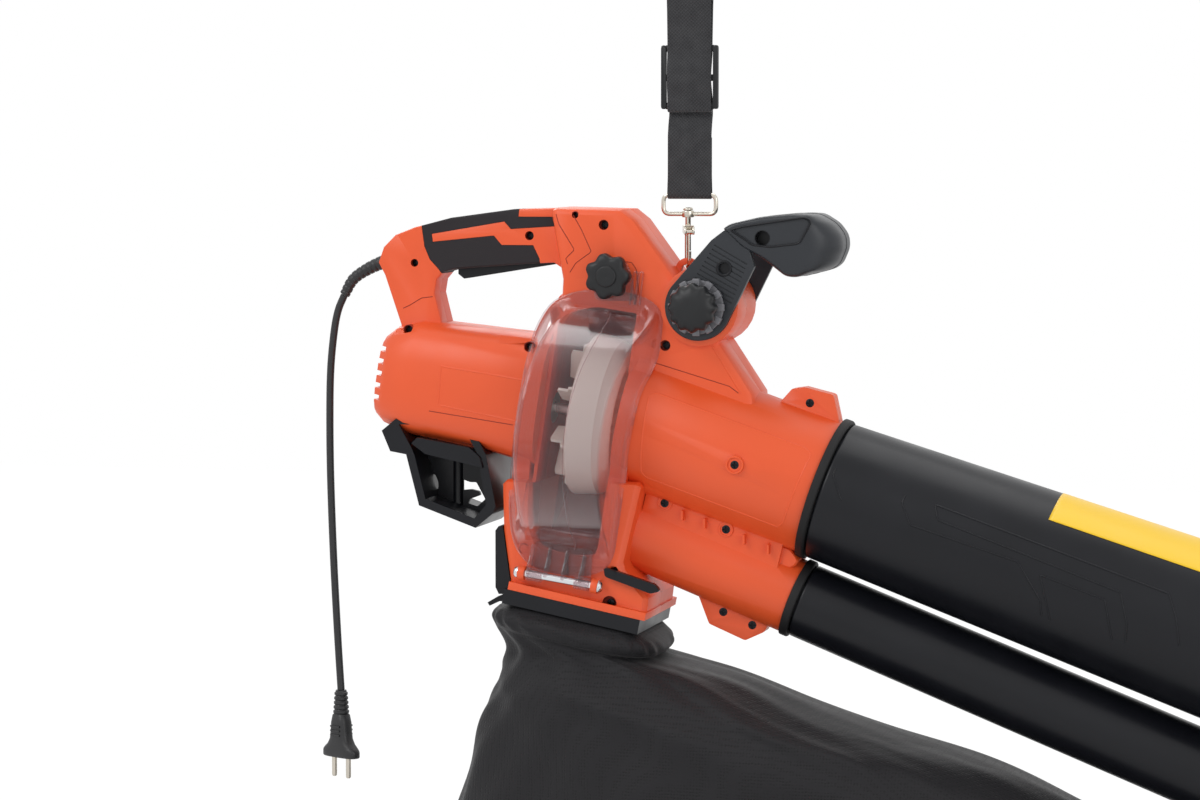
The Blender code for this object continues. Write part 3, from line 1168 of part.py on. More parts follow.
def shoulder_strap():
    across = Matrix.Translation((STRAP_X, 0, 0)) @ Matrix.Rotation(math.pi / 2, 4, "Z")
    over = [(STRAP_TOP_RADIUS * math.cos(a * math.pi / 8),
             STRAP_TOP + STRAP_TOP_RADIUS * math.sin(a * math.pi / 8))
            for a in range(9)]
    webbing = plate("strap_webbing", ribbon_outline(STRAP_UP + over + STRAP_DOWN, STRAP_THICKNESS),
                    -STRAP_HALF, STRAP_HALF,
                    across)
    paint(webbing, "webbing", BLACK, 0.9)
    low, middle, high = SLIDER_BARS
    side = SLIDER_HALF - 4.5 * MM
    slots = []
    for below, above in ((low, middle), (middle, high)):
        slots.append([(-side, below + SLIDER_BAR), (side, below + SLIDER_BAR),
                      (side, above - SLIDER_BAR),
                      (-side, above - SLIDER_BAR)])
    edge = [(-SLIDER_HALF, low - SLIDER_BAR), (SLIDER_HALF, low - SLIDER_BAR),
            (SLIDER_HALF, high + SLIDER_BAR),
            (-SLIDER_HALF, high + SLIDER_BAR)]
    slider = plate("strap_slider", rounded(edge, 4 * MM, 2), -SLIDER_THICKNESS, SLIDER_THICKNESS,
                   Matrix.Translation((STRAP_X, 0, 0)), holes=slots)
    paint(slider, "pom", BLACK, 0.4)
    corner = 5 * MM
    loop = rounded([(-RING_HALF, RING_LOW), (RING_HALF, RING_LOW), (RING_HALF, RING_HIGH),
                    (-RING_HALF, RING_HIGH)], corner, 3)
    wire = tube_along("strap_ring", [Vector((STRAP_X + x, 0, z)) for x, z in loop], RING_WIRE, sides=2,
                      cyclic=True)
    join(wire,
         cylinder("ring_boss", 5.5 * MM, RING_LOW - 3 * MM, RING_LOW + 3 * MM, along="Z", sides=20))
    cut(wire,
        cylinder("ring_boss_bore", 2.5 * MM + GAP, RING_LOW - 10 * MM, RING_LOW + 4 * MM, along="Z",
                 sides=16))
    paint(wire, "nickel", STEEL, 0.3, 1.0)


def snap_hook():
    turn = Matrix.Rotation(math.radians(HOOK_TURN), 4, "Z")
    bend = [(HOOK_BEND * math.cos(a), HOOK_BEND_CENTRE + HOOK_BEND * math.sin(a))
            for a in (-math.pi * k / 8 for k in range(9))]
    side = metres((3, 37.5), (7, 35.5), (9.3, 31), (9.6, 21)) + bend + metres((-9.4, 17))
    hook = tube_along("snap_hook", [Vector((0, y, z)) for y, z in side], HOOK_WIRE, sides=1)
    hook.matrix_world = turn
    join(hook,
         plate("hook_body", metres((-11.5, 31.5), (4.5, 33), (4.5, 40), (-8, 40), (-11.5, 37)),
               -4.5 * MM, 4.5 * MM,
               turn @ Matrix.Rotation(math.pi / 2, 4, "Z")),
         cylinder("hook_post", 2.5 * MM, 38 * MM, RING_LOW + 3.6 * MM, along="Z", sides=16),
         cylinder("hook_head", 4.5 * MM, RING_LOW + 3 * MM + GAP, RING_LOW + 6 * MM, along="Z",
                  sides=16))
    pivot = turn @ GATE_PIVOT
    pin_frame = turn @ Matrix.Translation(GATE_PIVOT)
    cut(hook, cylinder("gate_room", 3.4 * MM, -2.6 * MM, 2.6 * MM, pin_frame, sides=16),
        box("gate_way", (-2.6 * MM, -5 * MM, -5 * MM), (2.6 * MM, 1.9 * MM, 0), pin_frame),
        cylinder("gate_pin_bore", GATE_PIN + 0.2 * MM, -6 * MM, 6 * MM, pin_frame, sides=12))
    paint(hook, "nickel", STEEL, 0.3, 1.0)
    gate = cylinder("hook_gate", 2.4 * MM, -2.3 * MM, 2.3 * MM, pin_frame, sides=14)
    join(gate, cylinder("gate_pin", GATE_PIN, -4.4 * MM, 4.4 * MM, pin_frame, sides=12),
         cylinder("gate_bar", 1.6 * MM, (17.4 - 34) * MM, 0,
                  pin_frame @ Matrix.Rotation(math.radians(3), 4, "X"),
                  along="Z", sides=10))
    paint(gate, "nickel", STEEL, 0.3, 1.0)
    hinge_empty("hook_gate_axis", pivot, gate)


def main():
    housing()
    grip_and_trigger()
    cord_and_plug()
    motor()
    impeller()
    clear_cover()
    front_handle()
    tubes()
    wheels()
    screws()
    diverter()
    bag_collar()
    collection_bag()
    cord_holder()
    shoulder_strap()
    snap_hook()


if __name__ == "__main__":
    main()
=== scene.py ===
"""Electric leaf blower with its clear fan cover, tubes, bag and shoulder strap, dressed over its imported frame.

Metres, +Z up, +X towards the nozzles. The side with the clear cover faces -Y, and the origin is the
eye that the strap's hook goes through. New surfaces are worked out with numpy, in millimetres until they
are placed. The other pieces are the frame's own nodes, with rounded edges or in a better finish.
"""

import math

import bmesh
import bpy
import numpy as np
from bpy.props import FloatProperty, FloatVectorProperty, IntProperty, PointerProperty
from mathutils import Matrix, Vector
from mathutils.bvhtree import BVHTree


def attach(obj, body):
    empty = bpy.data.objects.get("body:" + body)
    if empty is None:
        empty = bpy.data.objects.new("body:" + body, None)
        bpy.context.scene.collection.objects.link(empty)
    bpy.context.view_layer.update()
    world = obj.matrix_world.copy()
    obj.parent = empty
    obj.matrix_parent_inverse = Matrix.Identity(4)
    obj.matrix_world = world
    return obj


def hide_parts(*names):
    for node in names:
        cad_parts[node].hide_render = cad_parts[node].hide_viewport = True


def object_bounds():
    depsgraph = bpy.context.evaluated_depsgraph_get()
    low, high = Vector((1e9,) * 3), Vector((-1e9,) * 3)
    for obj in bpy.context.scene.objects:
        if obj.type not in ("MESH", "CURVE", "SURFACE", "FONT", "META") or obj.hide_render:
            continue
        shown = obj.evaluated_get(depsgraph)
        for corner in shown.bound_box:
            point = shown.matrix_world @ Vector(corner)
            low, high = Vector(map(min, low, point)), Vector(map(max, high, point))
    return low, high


bl_info = {
    "name": "Leaf blower",
    "version": (1, 0, 0),
    "blender": (4, 5, 0),
    "location": "3D View > Sidebar > Leaf blower",
    "description": "Dresses the packed frame of a hand-held leaf blower and vacuum",
    "category": "Object",
}

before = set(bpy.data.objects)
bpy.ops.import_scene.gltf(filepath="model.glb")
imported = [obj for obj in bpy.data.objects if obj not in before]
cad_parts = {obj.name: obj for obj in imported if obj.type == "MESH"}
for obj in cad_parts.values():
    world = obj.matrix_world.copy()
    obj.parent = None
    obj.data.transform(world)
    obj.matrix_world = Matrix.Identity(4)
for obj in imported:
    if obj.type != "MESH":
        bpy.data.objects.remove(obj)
CAD_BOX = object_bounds()
MM = 0.001


def tilted(origin, degrees):
    """A 4 by 4 frame at origin (millimetres) whose X axis points forward and down by degrees."""
    return np.array(Matrix.Translation(Vector(origin) * MM) @ Matrix.Rotation(math.radians(degrees), 4, "Y"))


def shifted(place, along):
    """A frame moved by millimetres along its own axes."""
    return place @ np.array(Matrix.Translation(Vector(along) * MM))


def spun(place, degrees, axis):
    """A frame turned about one of its own axes."""
    return place @ np.array(Matrix.Rotation(math.radians(degrees), 4, axis))


def sideways(x, z, degrees=90.0):
    """A frame at (x, 0, z) whose X axis points along +Y, or along -Y where degrees is -90."""
    return spun(tilted((x, 0, z), 0.0), degrees, "Z")


# Frames of the machine's groups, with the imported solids' own values: the motor's axis, the fan's drum, the two
# outlets, the bag's mouth, the cover's hinge and the plug
WORLD = np.eye(4)
MOTOR = tilted((-84.0, 0.0, -131.0), 8.5)
SCROLL = shifted(MOTOR, (-4.0, 0.0, -13.0))
SUCTION = tilted((122.0, 0.0, -192.0), 18.8)
BLOW = tilted((98.0, 0.0, -290.0), 21.3)
FLANGE = tilted((-88.0, 0.0, -296.5), 11.0)
HINGE = shifted(SCROLL, (6.0, -62.0, -131.0))
PLUG = spun(tilted((-328.0, 0.0, -390.3), 0.0), -29.0, "Z")
# The cover's knob, the front handle's pivot and the cord's line, as x and z
KNOB_PLACE = (-61.0, -4.5)
PIVOT = (19.0, -31.0)
CORD_POINTS = ((-322.95, -25.8), (-329, -40), (-333, -60), (-336.5, -95), (-337.5, -141), (-337, -196),
               (-334.5, -270), (-331, -340), (-328, -390))
# How far apart the points of a line laid on a surface are
SPACING = 2.5


# Colours and surfaces


def linear(code):
    """An sRGB hex colour as linear red, green, blue and full alpha."""
    value = np.array([int(code[i:i + 2], 16) for i in (0, 2, 4)]) / 255.0
    low, high = value / 12.92, ((value + 0.055) / 1.055) ** 2.4
    return (*np.where(value <= 0.04045, low, high), 1.0)


def add(tree, kind, inputs=(), **settings):
    """Adds a node, sets its properties, and fills or links its inputs."""
    made = tree.nodes.new(kind)
    for name, value in settings.items():
        setattr(made, name, value)
    for key, value in dict(inputs).items():
        if isinstance(value, bpy.types.NodeSocket):
            tree.links.new(value, made.inputs[key])
        else:
            made.inputs[key].default_value = value
    return made


def per_mm(size):
    """The texture scale at which one cell is this many millimetres."""
    return 1000.0 / size


def new_material(name):
    """An empty material with its output."""
    finish = bpy.data.materials.new(name)
    finish.use_nodes = True
    tree = finish.node_tree
    tree.nodes.clear()
    return finish, tree, tree.nodes.new("ShaderNodeOutputMaterial")


def moulded(name, code, roughness, grain, depth, mottle, sheen=0.0, metallic=0.0, stretch=(1, 1, 1), level=0.5):
    """A moulded or machined surface: a fine grain in its height, and slow changes in colour and gloss.

    grain is the grain's width and depth a fifth of its height, in millimetres. The slow changes are 45 mm across.
    """
    finish, tree, output = new_material(name)
    place = add(tree, "ShaderNodeTexCoord")
    spread = add(tree, "ShaderNodeMapping", {"Vector": place.outputs["Object"], "Scale": stretch})
    slow = add(tree, "ShaderNodeTexNoise", {"Vector": spread.outputs[0], "Scale": per_mm(45), "Detail": 3.0})
    fine = add(tree, "ShaderNodeTexNoise", {"Vector": spread.outputs[0], "Scale": per_mm(grain), "Detail": 2.0})
    colour = linear(code)
    dark = tuple(c * (1 - mottle * 2) for c in colour[:3]) + (1.0,)
    light = tuple(min(1.0, c * (1 + mottle)) for c in colour[:3]) + (1.0,)
    tone = add(tree, "ShaderNodeMix", {0: slow.outputs["Fac"], 6: dark, 7: light}, data_type="RGBA")
    gloss = add(tree, "ShaderNodeMapRange", {"Value": slow.outputs["Fac"], "From Min": 0.3, "From Max": 0.7,
                                             "To Min": roughness - 0.05, "To Max": roughness + 0.05})
    bump = add(tree, "ShaderNodeBump", {"Height": fine.outputs["Fac"], "Strength": 0.35, "Distance": depth * MM * 5})
    shader = add(tree, "ShaderNodeBsdfPrincipled", {"Base Color": tone.outputs[2], "Roughness": gloss.outputs[0],
                                                    "Normal": bump.outputs[0], "Metallic": metallic})
    shader.inputs["Sheen Weight"].default_value = sheen
    shader.inputs["Specular IOR Level"].default_value = level
    tree.links.new(shader.outputs[0], output.inputs[0])
    return finish


def clear_polycarbonate():
    """Clear polished polycarbonate: seen through face on, with a bright gloss that grows where it curves away.

    A faint cloud of the plastic's own pale tone grows the same way. The haze in the gloss is 30 mm across.
    """
    finish, tree, output = new_material("polycarbonate_clear")
    place = add(tree, "ShaderNodeTexCoord")
    haze = add(tree, "ShaderNodeTexNoise", {"Vector": place.outputs["Object"], "Scale": per_mm(30), "Detail": 4.0})
    dull = add(tree, "ShaderNodeMapRange", {"Value": haze.outputs["Fac"], "To Min": 0.04, "To Max": 0.12})
    see = add(tree, "ShaderNodeBsdfTransparent", {"Color": linear("F3ECED")})
    gloss = add(tree, "ShaderNodeBsdfGlossy", {"Color": linear("FFFFFF"), "Roughness": dull.outputs[0]})
    edge = add(tree, "ShaderNodeLayerWeight", {"Blend": 0.22})
    share = add(tree, "ShaderNodeMapRange", {"Value": edge.outputs["Facing"], "From Min": 0.05, "To Min": 0.024,
                                             "To Max": 0.55})
    glazed = add(tree, "ShaderNodeMixShader", {0: share.outputs[0], 1: see.outputs[0], 2: gloss.outputs[0]})
    body = add(tree, "ShaderNodeBsdfPrincipled", {"Base Color": linear("CDB9BB"), "Roughness": dull.outputs[0],
                                                  "IOR": 1.58})
    cloud = add(tree, "ShaderNodeMapRange", {"Value": edge.outputs["Facing"], "From Min": 0.05, "To Min": 0.02,
                                             "To Max": 0.30})
    mix = add(tree, "ShaderNodeMixShader", {0: cloud.outputs[0], 1: glazed.outputs[0], 2: body.outputs[0]})
    tree.links.new(mix.outputs[0], output.inputs[0])
    return finish


def black_webbing():
    """Polypropylene webbing by its UV map, in millimetres: rounded threads over and under each other, with painted
    shade and highlight.
    """
    finish, tree, output = new_material("webbing_black")
    place = add(tree, "ShaderNodeUVMap", uv_map="UVMap")
    split = add(tree, "ShaderNodeSeparateXYZ", {"Vector": place.outputs[0]})
    # The real threads are 1 mm. They are drawn at 1.6 mm so that they show, and one wave is two of them.
    pitch = 3.2
    waves = []
    for socket in "XY":
        turn = add(tree, "ShaderNodeMath", {0: split.outputs[socket], 1: 2 * math.pi / pitch}, operation="MULTIPLY")
        waves.append(add(tree, "ShaderNodeMath", {0: turn.outputs[0]}, operation="SINE"))
    weave = add(tree, "ShaderNodeMath", {0: waves[0].outputs[0], 1: waves[1].outputs[0]}, operation="MULTIPLY")
    height = add(tree, "ShaderNodeMapRange", {"Value": weave.outputs[0], "From Min": -1.0, "From Max": 1.0})
    # Wear, in changes 12 mm across
    slow = add(tree, "ShaderNodeTexNoise", {"Vector": place.outputs[0], "Scale": 0.08, "Detail": 4.0})
    # The colour follows the weave's height: painted shade between the threads and painted highlight on their tops
    colour = linear("2A2A2D")
    dark = tuple(c * 0.45 for c in colour[:3]) + (1.0,)
    light = tuple(c * 1.35 for c in colour[:3]) + (1.0,)
    tone = add(tree, "ShaderNodeMix", {0: height.outputs[0], 6: dark, 7: light}, data_type="RGBA")
    worn = add(tree, "ShaderNodeMapRange", {"Value": slow.outputs["Fac"], "From Min": 0.3, "From Max": 0.7,
                                            "To Min": 0.72, "To Max": 0.92})
    bump = add(tree, "ShaderNodeBump", {"Height": height.outputs[0], "Strength": 0.8, "Distance": 0.5 * MM})
    shader = add(tree, "ShaderNodeBsdfPrincipled", {"Base Color": tone.outputs[2], "Roughness": worn.outputs[0],
                                                    "Normal": bump.outputs[0]})
    shader.inputs["Sheen Weight"].default_value = 0.25
    shader.inputs["Sheen Roughness"].default_value = 0.5
    tree.links.new(shader.outputs[0], output.inputs[0])
    return finish


def bonded_cloth():
    """Black non-woven polypropylene: heat-bonded dimples in rows with painted shade in them, a soft sheen, and creases
    60 mm across.
    """
    finish, tree, output = new_material("polypropylene_nonwoven")
    place = add(tree, "ShaderNodeTexCoord")
    # The real dimples are 1.5 mm apart. They are drawn 2.8 mm apart so that they show in the render.
    cells = add(tree, "ShaderNodeTexVoronoi", {"Vector": place.outputs["Object"], "Scale": per_mm(2.8),
                                               "Randomness": 0.25}, feature="F1")
    dimple = add(tree, "ShaderNodeMapRange", {"Value": cells.outputs["Distance"], "From Min": 0.05, "From Max": 0.45})
    slow = add(tree, "ShaderNodeTexNoise", {"Vector": place.outputs["Object"], "Scale": per_mm(60), "Detail": 5.0,
                                            "Distortion": 0.6})
    # Darker down in each dimple: painted shade
    tone = add(tree, "ShaderNodeMix", {0: dimple.outputs[0], 6: linear("060607"), 7: linear("19181B")},
               data_type="RGBA")
    first = add(tree, "ShaderNodeBump", {"Height": slow.outputs["Fac"], "Strength": 0.5, "Distance": 4 * MM})
    second = add(tree, "ShaderNodeBump", {"Height": dimple.outputs[0], "Strength": 0.9, "Distance": 0.4 * MM,
                                          "Normal": first.outputs[0]})
    shader = add(tree, "ShaderNodeBsdfPrincipled", {"Base Color": tone.outputs[2], "Roughness": 0.62,
                                                    "Normal": second.outputs[0]})
    shader.inputs["Sheen Weight"].default_value = 0.08
    shader.inputs["Specular IOR Level"].default_value = 0.25
    tree.links.new(shader.outputs[0], output.inputs[0])
    return finish


# The moulded and machined finishes, by the real material and how its surface was made
FINISHES = {
    # Moulded ABS in a signal orange: spark-eroded mould, so an even satin grain
    "abs_orange": dict(code="E65727", roughness=0.42, grain=0.6, depth=0.02, mottle=0.03),
    # The same ABS, darkened as painted shade, for the screw wells' cups and the dark seam bars
    "abs_painted_shade": dict(code="8E2409", roughness=0.6, grain=0.6, depth=0.02, mottle=0.05),
    # The same ABS inside the fan's drum, unpolished, and darker and redder as painted shade
    "abs_drum_painted_shade": dict(code="D8381F", roughness=0.62, grain=0.9, depth=0.04, mottle=0.12),
    # Moulded polypropylene, half gloss, with faint flow marks
    "polypropylene_black": dict(code="121318", roughness=0.33, grain=0.9, depth=0.02, mottle=0.12, level=0.28),
    # Glass-filled nylon for knobs, a little duller
    "nylon_black": dict(code="1A1B1D", roughness=0.42, grain=0.8, depth=0.03, mottle=0.10, level=0.35),
    # Glass-filled nylon of the front handle with a fine spark-eroded grain: the same black, lightened to a cool grey as
    # painted reflection
    "nylon_painted_reflection": dict(code="26292E", roughness=0.36, grain=0.7, depth=0.03, mottle=0.08, level=0.4),
    # Nylon teeth, black like the rest, painted a pale grey as painted highlight
    "nylon_painted_highlight": dict(code="75757A", roughness=0.40, grain=0.8, depth=0.03, mottle=0.10),
    # Overmoulded thermoplastic elastomer, matt and slightly warm
    "elastomer_grip": dict(code="242023", roughness=0.72, grain=0.8, depth=0.06, mottle=0.10, sheen=0.08, level=0.3),
    # Unfilled nylon, milky with a green cast
    "nylon_natural": dict(code="DCE2D8", roughness=0.38, grain=2.0, depth=0.02, mottle=0.04),
    # Soft PVC on the cord, its sleeve and plug
    "pvc_black": dict(code="1F1F21", roughness=0.46, grain=1.2, depth=0.02, mottle=0.10),
    # Nitrile rubber seals and tyres, matt
    "rubber_black": dict(code="171718", roughness=0.62, grain=0.9, depth=0.05, mottle=0.10, level=0.3),
    # Nickel-plated steel wire and pins, warm and bright
    "nickel_plate": dict(code="CFC8BC", roughness=0.22, grain=1.5, depth=0.01, mottle=0.05, metallic=1.0),
    # Bright chrome plate
    "chrome_plate": dict(code="DADCDE", roughness=0.10, grain=2.0, depth=0.005, mottle=0.02, metallic=1.0),
    # Black-oxide steel screws
    "oxide_steel": dict(code="26262A", roughness=0.38, grain=0.7, depth=0.03, mottle=0.15, metallic=0.8),
    # Ground bearing and shaft steel, with marks round the axis
    "steel_ground": dict(code="B9B9B5", roughness=0.30, grain=0.5, depth=0.02, mottle=0.08, metallic=1.0,
                         stretch=(8, 1, 1)),
    # Varnished electrical sheet, stacked across the motor axis
    "sheet_stack": dict(code="5B5552", roughness=0.45, grain=0.6, depth=0.08, mottle=0.15, metallic=0.9,
                        stretch=(6, 1, 1)),
    # Turned copper
    "copper_turned": dict(code="C87A54", roughness=0.28, grain=0.5, depth=0.03, mottle=0.10, metallic=1.0,
                          stretch=(8, 1, 1)),
    # Stamped brass
    "brass_stamped": dict(code="BFA055", roughness=0.35, grain=0.8, depth=0.03, mottle=0.10, metallic=1.0),
    # Yellow printed vinyl, left plain
    "vinyl_yellow": dict(code="F2C521", roughness=0.35, grain=3.0, depth=0.01, mottle=0.03),
}
SPECIAL = {"polycarbonate_clear": clear_polycarbonate, "webbing_black": black_webbing,
           "polypropylene_nonwoven": bonded_cloth}
MATERIALS = {}


def material(name):
    """One of the object's finishes, made when it is first asked for."""
    if name not in MATERIALS:
        MATERIALS[name] = SPECIAL[name]() if name in SPECIAL else moulded(name, **FINISHES[name])
    return MATERIALS[name]


# Meshes


def placed(points, place):
    """Points in a frame, in metres, moved to the world."""
    return np.asarray(points) @ place[:3, :3].T + place[:3, 3]


def at_depth(points, y=0.0):
    """Points (x, z) as points (x, y, z)."""
    points = np.asarray(points, float)
    return np.column_stack([points[:, 0], np.full(len(points), y), points[:, 1]])


def lengths(points):
    """How far along a polyline each of its points lies."""
    return np.concatenate([[0], np.cumsum(np.linalg.norm(np.diff(points, axis=0), axis=1))])


def superellipse(value, power):
    """One coordinate of a superellipse, sign(v) |v|^power, where v is cos a or sin a."""
    return np.sign(value) * np.abs(value) ** power


def build(name, vertices, faces, weld=1e-6, uv=None):
    """An object from arrays of vertices and faces, its doubles merged and its normals outwards."""
    mesh = bpy.data.meshes.new(name)
    mesh.from_pydata(np.asarray(vertices).reshape(-1, 3).tolist(), [], faces)
    if uv is not None:
        layer = mesh.uv_layers.new(name="UVMap")
        corners = np.empty(len(mesh.loops), dtype=np.int64)
        mesh.loops.foreach_get("vertex_index", corners)
        layer.data.foreach_set("uv", np.asarray(uv).reshape(-1, 2)[corners].ravel())
    bm = bmesh.new()
    bm.from_mesh(mesh)
    if weld:
        bmesh.ops.remove_doubles(bm, verts=bm.verts, dist=weld)
    bmesh.ops.recalc_face_normals(bm, faces=bm.faces)
    bm.to_mesh(mesh)
    bm.free()
    piece = bpy.data.objects.new(name, mesh)
    bpy.context.scene.collection.objects.link(piece)
    return piece


def grid_faces(rows, columns, wrap_rows=False, wrap_columns=False, caps=False):
    """The quads of a grid of points, and its end caps where the columns close."""
    i, j = np.meshgrid(np.arange(rows if wrap_rows else rows - 1),
                       np.arange(columns if wrap_columns else columns - 1), indexing="ij")
    i2, j2 = (i + 1) % rows, (j + 1) % columns
    quads = np.stack([i * columns + j, i2 * columns + j, i2 * columns + j2, i * columns + j2], axis=-1)
    faces = quads.reshape(-1, 4).tolist()
    if caps:
        faces.append(np.arange(columns)[::-1].tolist())
        faces.append((np.arange(columns) + (rows - 1) * columns).tolist())
    return faces


def softened(points, radius, steps=4, closed=True):
    """A polyline whose corners are arcs: each corner is a quadratic curve that starts radius before it.

    radius is one number or one for each point, shortened to 0.45 of the next side.
    """
    here = np.asarray(points, float)
    before, after = np.roll(here, 1, axis=0), np.roll(here, -1, axis=0)
    back, fore = before - here, after - here
    size_back = np.linalg.norm(back, axis=1, keepdims=True)
    size_fore = np.linalg.norm(fore, axis=1, keepdims=True)
    reach = np.minimum(np.broadcast_to(np.reshape(radius, (-1, 1)), size_back.shape),
                       0.45 * np.minimum(size_back, size_fore))
    start, end = here + back / size_back * reach, here + fore / size_fore * reach
    t = np.linspace(0, 1, steps + 1)[None, :, None]
    arcs = start[:, None] * (1 - t) ** 2 + here[:, None] * 2 * t * (1 - t) + end[:, None] * t ** 2
    if closed:
        return arcs.reshape(-1, here.shape[1])
    return np.vstack([here[:1], arcs[1:-1].reshape(-1, here.shape[1]), here[-1:]])


def turned(profile, place, sides=64):
    """A closed profile turned about a frame's X axis: radius r and station s become (s, r cos a, r sin a)."""
    profile = np.asarray(profile, float) * MM
    angle = np.linspace(0, 2 * math.pi, sides, endpoint=False)
    r, s = profile[:, :1], profile[:, 1:]
    points = np.stack([np.broadcast_to(s, (len(profile), sides)), r * np.cos(angle), r * np.sin(angle)], axis=-1)
    return placed(points.reshape(-1, 3), place), grid_faces(len(profile), sides, True, True)


def merged(*parts):
    """Several (vertices, faces) pairs as one."""
    vertices, faces, start = [], [], 0
    for some, their in parts:
        some = np.asarray(some).reshape(-1, 3)
        vertices.append(some)
        faces.extend([[index + start for index in face] for face in their])
        start += len(some)
    return np.vstack(vertices), faces


def extruded(outline, rows, place=WORLD):
    """An outline of (x, z) millimetres in a frame's XZ plane, carried along its Y axis.

    rows holds the two values of y that it lies between, or (y, inward) pairs, which step the outline's points
    towards their middle for rounded edges.
    """
    outline = np.asarray(outline, float)
    middle = outline.mean(axis=0)
    away = outline - middle
    size = np.linalg.norm(away, axis=1, keepdims=True)
    layers = []
    for row in rows:
        y, inward = row if isinstance(row, tuple) else (row, 0.0)
        layers.append(at_depth(middle + away * (1 - inward / np.maximum(size, 1e-6)), y))
    points = np.stack(layers) * MM
    return placed(points.reshape(-1, 3), place), grid_faces(len(rows), len(outline), False, True, caps=True)


def lobed(station, base, lobe, wave, place):
    """A knob about a frame's X axis: at station s its radius is base(s) + lobe(s) w(a), and its ends are flat."""
    angle = np.linspace(0, 2 * math.pi, len(wave), endpoint=False)
    r = base[:, None] + lobe[:, None] * wave
    points = np.stack([np.broadcast_to(station[:, None], r.shape), r * np.cos(angle), r * np.sin(angle)],
                      axis=-1) * MM
    return placed(points.reshape(-1, 3), place), grid_faces(len(station), len(angle), False, True, caps=True)


def swept(route, radii, sides=16, closed=False):
    """A round bar along a route in metres: each ring stands square to the path, turned with it.

    The side direction is carried along by removing its part along the path, so that the bar never twists.
    """
    route = np.asarray(route, float)
    if closed:
        along = np.roll(route, -1, axis=0) - np.roll(route, 1, axis=0)
    else:
        along = np.gradient(route, axis=0)
    along /= np.linalg.norm(along, axis=1, keepdims=True)
    helper = np.array([0.0, 1.0, 0.0]) if abs(along[:, 1]).max() < 0.9 else np.array([1.0, 0.0, 0.0])
    side = helper - along * (along @ helper)[:, None]
    side /= np.linalg.norm(side, axis=1, keepdims=True)
    other = np.cross(along, side)
    angle = np.linspace(0, 2 * math.pi, sides, endpoint=False)
    radii = np.broadcast_to(np.reshape(radii, (-1, 1, 1)), (len(route), 1, 1))
    points = route[:, None] + radii * (side[:, None] * np.cos(angle)[None, :, None]
                                       + other[:, None] * np.sin(angle)[None, :, None])
    return points.reshape(-1, 3), grid_faces(len(route), sides, closed, True, caps=not closed)


def smooth_route(points, count):
    """A smooth curve through points: each stretch is a cubic whose ends point along their neighbours."""
    points = np.asarray(points, float)
    ends = np.vstack([2 * points[0] - points[1], points, 2 * points[-1] - points[-2]])
    position = np.linspace(0, len(points) - 1 - 1e-9, count)
    index = position.astype(int)
    t = (position - index)[:, None]
    p0, p1, p2, p3 = (ends[index + k] for k in range(4))
    return 0.5 * (2 * p1 + (p2 - p0) * t + (2 * p0 - 5 * p1 + 4 * p2 - p3) * t ** 2
                  + (3 * p1 - p0 - 3 * p2 + p3) * t ** 3)


def dress(piece, finish, body, *nodes, sharp=35.0):
    """Gives a piece its finish, smooth shading up to an angle and its body, and hides the CAD nodes it stands for."""
    mesh = piece.data
    mesh.materials.clear()
    mesh.materials.append(material(finish))
    mesh.polygons.foreach_set("use_smooth", np.ones(len(mesh.polygons), dtype=bool))
    mesh.set_sharp_from_angle(angle=math.radians(sharp))
    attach(piece, body)
    if nodes:
        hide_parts(*nodes)
    return piece


def rounded_copy(node, finish, body, width, segments=2):
    """A CAD node's mesh with its doubles merged, its flat faces joined and edges over 32 degrees rounded."""
    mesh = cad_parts[node].data.copy()
    bm = bmesh.new()
    bm.from_mesh(mesh)
    bmesh.ops.remove_doubles(bm, verts=bm.verts, dist=2e-6)
    bmesh.ops.dissolve_limit(bm, angle_limit=math.radians(0.6), verts=bm.verts, edges=bm.edges)
    bm.to_mesh(mesh)
    bm.free()
    piece = bpy.data.objects.new(node + "_shell", mesh)
    bpy.context.scene.collection.objects.link(piece)
    sharp = 32.0
    edge = piece.modifiers.new("edge", "BEVEL")
    edge.width = width * MM
    edge.segments = segments
    edge.limit_method = "ANGLE"
    edge.angle_limit = math.radians(sharp)
    edge.miter_outer = "MITER_ARC"
    return dress(piece, finish, body, node, sharp=sharp)


def kept_node(node, finish):
    """A CAD node that is right as it is, in a better finish."""
    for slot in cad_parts[node].material_slots:
        slot.material = material(finish)


def solid_tree(*nodes):
    """A tree that rays can be cast at, over the triangles of some CAD nodes."""
    points, corners, start = [], [], 0
    for node in nodes:
        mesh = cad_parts[node].data
        some = np.empty(len(mesh.vertices) * 3)
        mesh.vertices.foreach_get("co", some)
        index = np.empty(len(mesh.loops), dtype=np.int32)
        mesh.loops.foreach_get("vertex_index", index)
        points.append(some.reshape(-1, 3))
        corners.append(index.reshape(-1, 3) + start)
        start += len(mesh.vertices)
    return BVHTree.FromPolygons(np.vstack(points).tolist(), np.vstack(corners).tolist())


SHELLS = solid_tree("housing_right", "housing_left")


def on_shell(points, side, lift):
    """A polyline of (x, z) millimetres laid on the orange shells from one side, and lifted by millimetres.

    A ray along Y finds the shell under each of its points, which are SPACING apart.
    """
    corners = np.asarray(points, float)
    run = lengths(corners)
    steps = np.linspace(0, run[-1], max(3, int(run[-1] / SPACING) + 1))
    x, z = np.interp(steps, run, corners[:, 0]), np.interp(steps, run, corners[:, 1])
    hits = [SHELLS.ray_cast(Vector((a * MM, side * 0.2, b * MM)), Vector((0, -side, 0))) for a, b in zip(x, z)]
    return np.array([np.array(place) + np.array(normal) * lift * MM for place, normal, _, _ in hits if place])


def post(start, end, radius):
    """A round bar between two points in millimetres."""
    return swept(np.array([start, end], float) * MM, radius * MM, 28)


